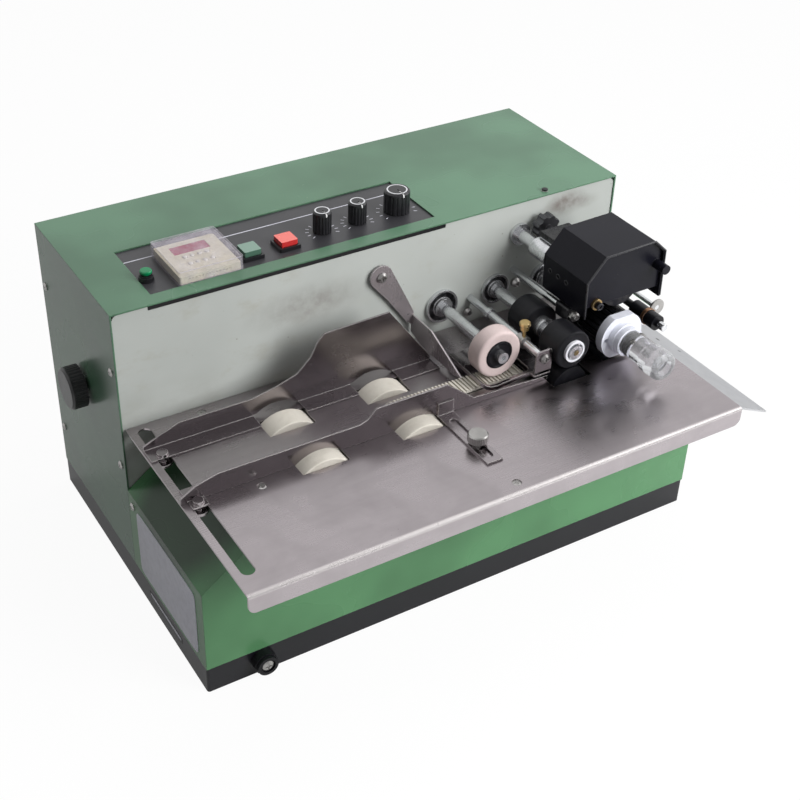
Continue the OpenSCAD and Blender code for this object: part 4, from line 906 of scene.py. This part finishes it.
class CODER_OT_print_head(Operator):
    """Print drum, inking head and their knobs"""
    bl_idname = "coder.print_head"
    bl_label = "Printing and inking"

    def execute(self, context):
        coat = powder_coat("head_black", (0.006, 0.006, 0.010))
        paint_nodes(coat, "ink_cover", "ink_plate")
        self.cover_edge()
        paint_nodes(turned_metal("drum_black", (0.035, 0.035, 0.04), 0.3), "print_drum")
        paint_nodes(sleeve_and_plate("frame_black", in_frame((338.5, 214.8)), 8.3), "ink_frame")
        paint_nodes(plastic("flange_white", linear(226, 228, 238), 0.25), "drum_flange")
        paint_nodes(clear_acrylic("knob_clear"), "drum_knob")
        self.neck_screws()
        self.cover_eyelets()
        paint_nodes(rubber("ink_sponge", (0.008, 0.008, 0.012)), "ink_roller")
        paint_nodes(turned_metal("star_dark", (0.12, 0.12, 0.13), 0.3), "star_knob")
        self.rest_block()
        self.pivot_bolt()
        return {"FINISHED"}

    def cover_edge(self):
        """The rounded fold round the cover's front opening: rings about each corner, closed at both ends."""
        corners = np.array([(332.4, 190), (331.4, 220), (346.9, 238.3),
                            (392.1, 239.3), (403.3, 228.9), (404.3, 190)])
        y, radius, inside = -95.1, 0.75, (368, 214)
        path = np.array([on(corner, y) for corner in corners])
        turns = circle(16)
        out = np.insert(corners - inside, 1, 0.0, axis=1)
        out /= np.linalg.norm(out, axis=1, keepdims=True)
        round_edge = turns[:, :1] * out[:, None] + turns[:, 1:] * np.array(FRONT)
        fold = path[:, None] + radius * MM * round_edge
        ends = np.repeat(path[[0, -1]][:, None], len(turns), axis=1)
        surface("head_fold", np.concatenate([ends[:1], fold, ends[1:]]), "ink_head",
                plastic("fold_grey", (0.03, 0.03, 0.034), 0.22, edge=0.0))

    def neck_screws(self):
        """Two socket screws in the white flange's neck."""
        neck = turned_metal("neck_screw", (0.4, 0.39, 0.38), 0.2)
        levels = turned([2.2, 2.2, 1.9, 1.0, 0.9], [9.5, 10.7, 11.0, 11.0, 10.4])
        for i, (angle, y) in enumerate(((60, -117.5), (130, -120.5))):
            way = np.array([math.cos(math.radians(angle)), 0.0, math.sin(math.radians(angle))])
            lathe(f"neck_screw_{i}", levels, on(PRINT, y), "print_unit", neck, way)

    def cover_eyelets(self):
        """Three rivet rings on the cover's left side."""
        rivet = plastic("eyelet", (0.05, 0.05, 0.055), 0.2)
        for i, y in enumerate((-51, -61, -71)):
            lathe(f"head_eyelet_{i}", hoop(2.2, 1.5, -0.2, 0.35), at(331.5, y, 209), "ink_head", rivet,
                  LEFT)

    def rest_block(self):
        """The block that the head rests on, with a rounded top and flared foot."""
        quarter = circle(12)[:4]
        top, low = quarter * 1.2, quarter[:, ::-1] * (3.0, -3.0)
        half = np.vstack([low + (2.3, -3.5), top + (4.2, 4.6)])
        block = np.vstack([half, half[::-1] * (-1, 1)])
        lathe("head_rest", turned([0.97, 1.0, 1.0, 0.97], [0.0, 0.4, 14.4, 14.8]), at(335.5, -63.2, 183.5),
              "cabinet", plastic("rest_black", (0.008, 0.008, 0.01), 0.35), outline=block)

    def pivot_bolt(self):
        """Brass ring and dark socket bolt on the head's front plate."""
        brass = turned_metal("brass_ring", (0.55, 0.38, 0.17), 0.24)
        dark = turned_metal("bolt_dark", (0.05, 0.05, 0.06), 0.25)
        bolt = (343.6, 198.7)
        lathe("plate_ring", hoop(4.5, 2.8, 0.0, 2.2), on(bolt, -92.6), "ink_head", brass)
        lathe("plate_bolt", turned([3.0, 3.0, 2.6, 1.5, 1.4], [0.0, 5.6, 6.0, 6.0, 4.4]), on(bolt, -92.5),
              "ink_head", dark)


class CODER_OT_fasteners(Operator):
    """Screws, and the collar, washer and clamp screw on the rods"""
    bl_idname = "coder.fasteners"
    bl_label = "Fasteners"

    def execute(self, context):
        steel = turned_metal("screw_steel", (0.42, 0.41, 0.4), 0.22)
        paint_nodes(steel, "screws", "thumb_screw")
        lathe("rod_collar", hoop(5.0, 3.1, 0.0, 8.0), on(ROD, -66.5), "cabinet", steel)
        lathe("rod_washer", hoop(6.9, 1.9, 0.0, 1.4), on((418.6, 166.0), -79.0), "cabinet", steel)
        brass = turned_metal("screw_brass", (0.62, 0.45, 0.2), 0.2, "z")
        levels = turned([1.5, 1.5, 2.9, 3.3, 3.3, 1.9, 1.9, 4.0, 4.4, 4.2, 3.6],
                        [4.6, 10.2, 10.2, 10.6, 13.8, 13.8, 14.3, 14.3, 14.8, 16.7, 17.3])
        lathe("clamp_screw", levels, on(ROD, -71.5), "cabinet", brass, UP)
        return {"FINISHED"}


class CODER_OT_inside(Operator):
    """Motor, board and bracket inside the cabinet"""
    bl_idname = "coder.inside"
    bl_label = "Drive and electrics"

    def execute(self, context):
        paint_nodes(enamel("motor_grey", (0.07, 0.075, 0.085), gloss=0.4), "gear_motor")
        paint_nodes(plastic("board_green", (0.012, 0.07, 0.03), 0.35), "control_board")
        paint_nodes(sheet_steel("bracket_zinc", (0.55, 0.56, 0.58)), "shaft_bracket")
        return {"FINISHED"}


class CODER_PT_side(Panel):
    """Sidebar tab with the machine's colours, sizes and steps"""
    bl_label = "Card coder"
    bl_space_type = "VIEW_3D"
    bl_region_type = "UI"
    bl_category = "Coder"

    def draw(self, context):
        for group in (context.scene.coder_paint, context.scene.coder_controls, context.scene.coder_studio):
            box = self.layout.box()
            for key in group.__annotations__:
                box.prop(group, key)
        for step in STEPS:
            self.layout.operator(step.bl_idname)


GROUPS = {"coder_paint": CoderPaint, "coder_controls": CoderControls, "coder_studio": CoderStudio}
STEPS = (CODER_OT_stage, CODER_OT_sheet_metal, CODER_OT_control_row, CODER_OT_rollers, CODER_OT_print_head,
         CODER_OT_fasteners, CODER_OT_inside)


def register():
    for name, group in GROUPS.items():
        bpy.utils.register_class(group)
        setattr(bpy.types.Scene, name, PointerProperty(type=group))
    for step in (*STEPS, CODER_PT_side):
        bpy.utils.register_class(step)


def unregister():
    for step in (*STEPS, CODER_PT_side):
        bpy.utils.unregister_class(step)
    for name, group in GROUPS.items():
        delattr(bpy.types.Scene, name)
        bpy.utils.unregister_class(group)


def main():
    register()
    for step in STEPS:
        group, name = step.bl_idname.split(".")
        if getattr(getattr(bpy.ops, group), name)() != {"FINISHED"}:
            raise RuntimeError(f"{step.bl_label} didn't finish")


if __name__ == "__main__":
    main()
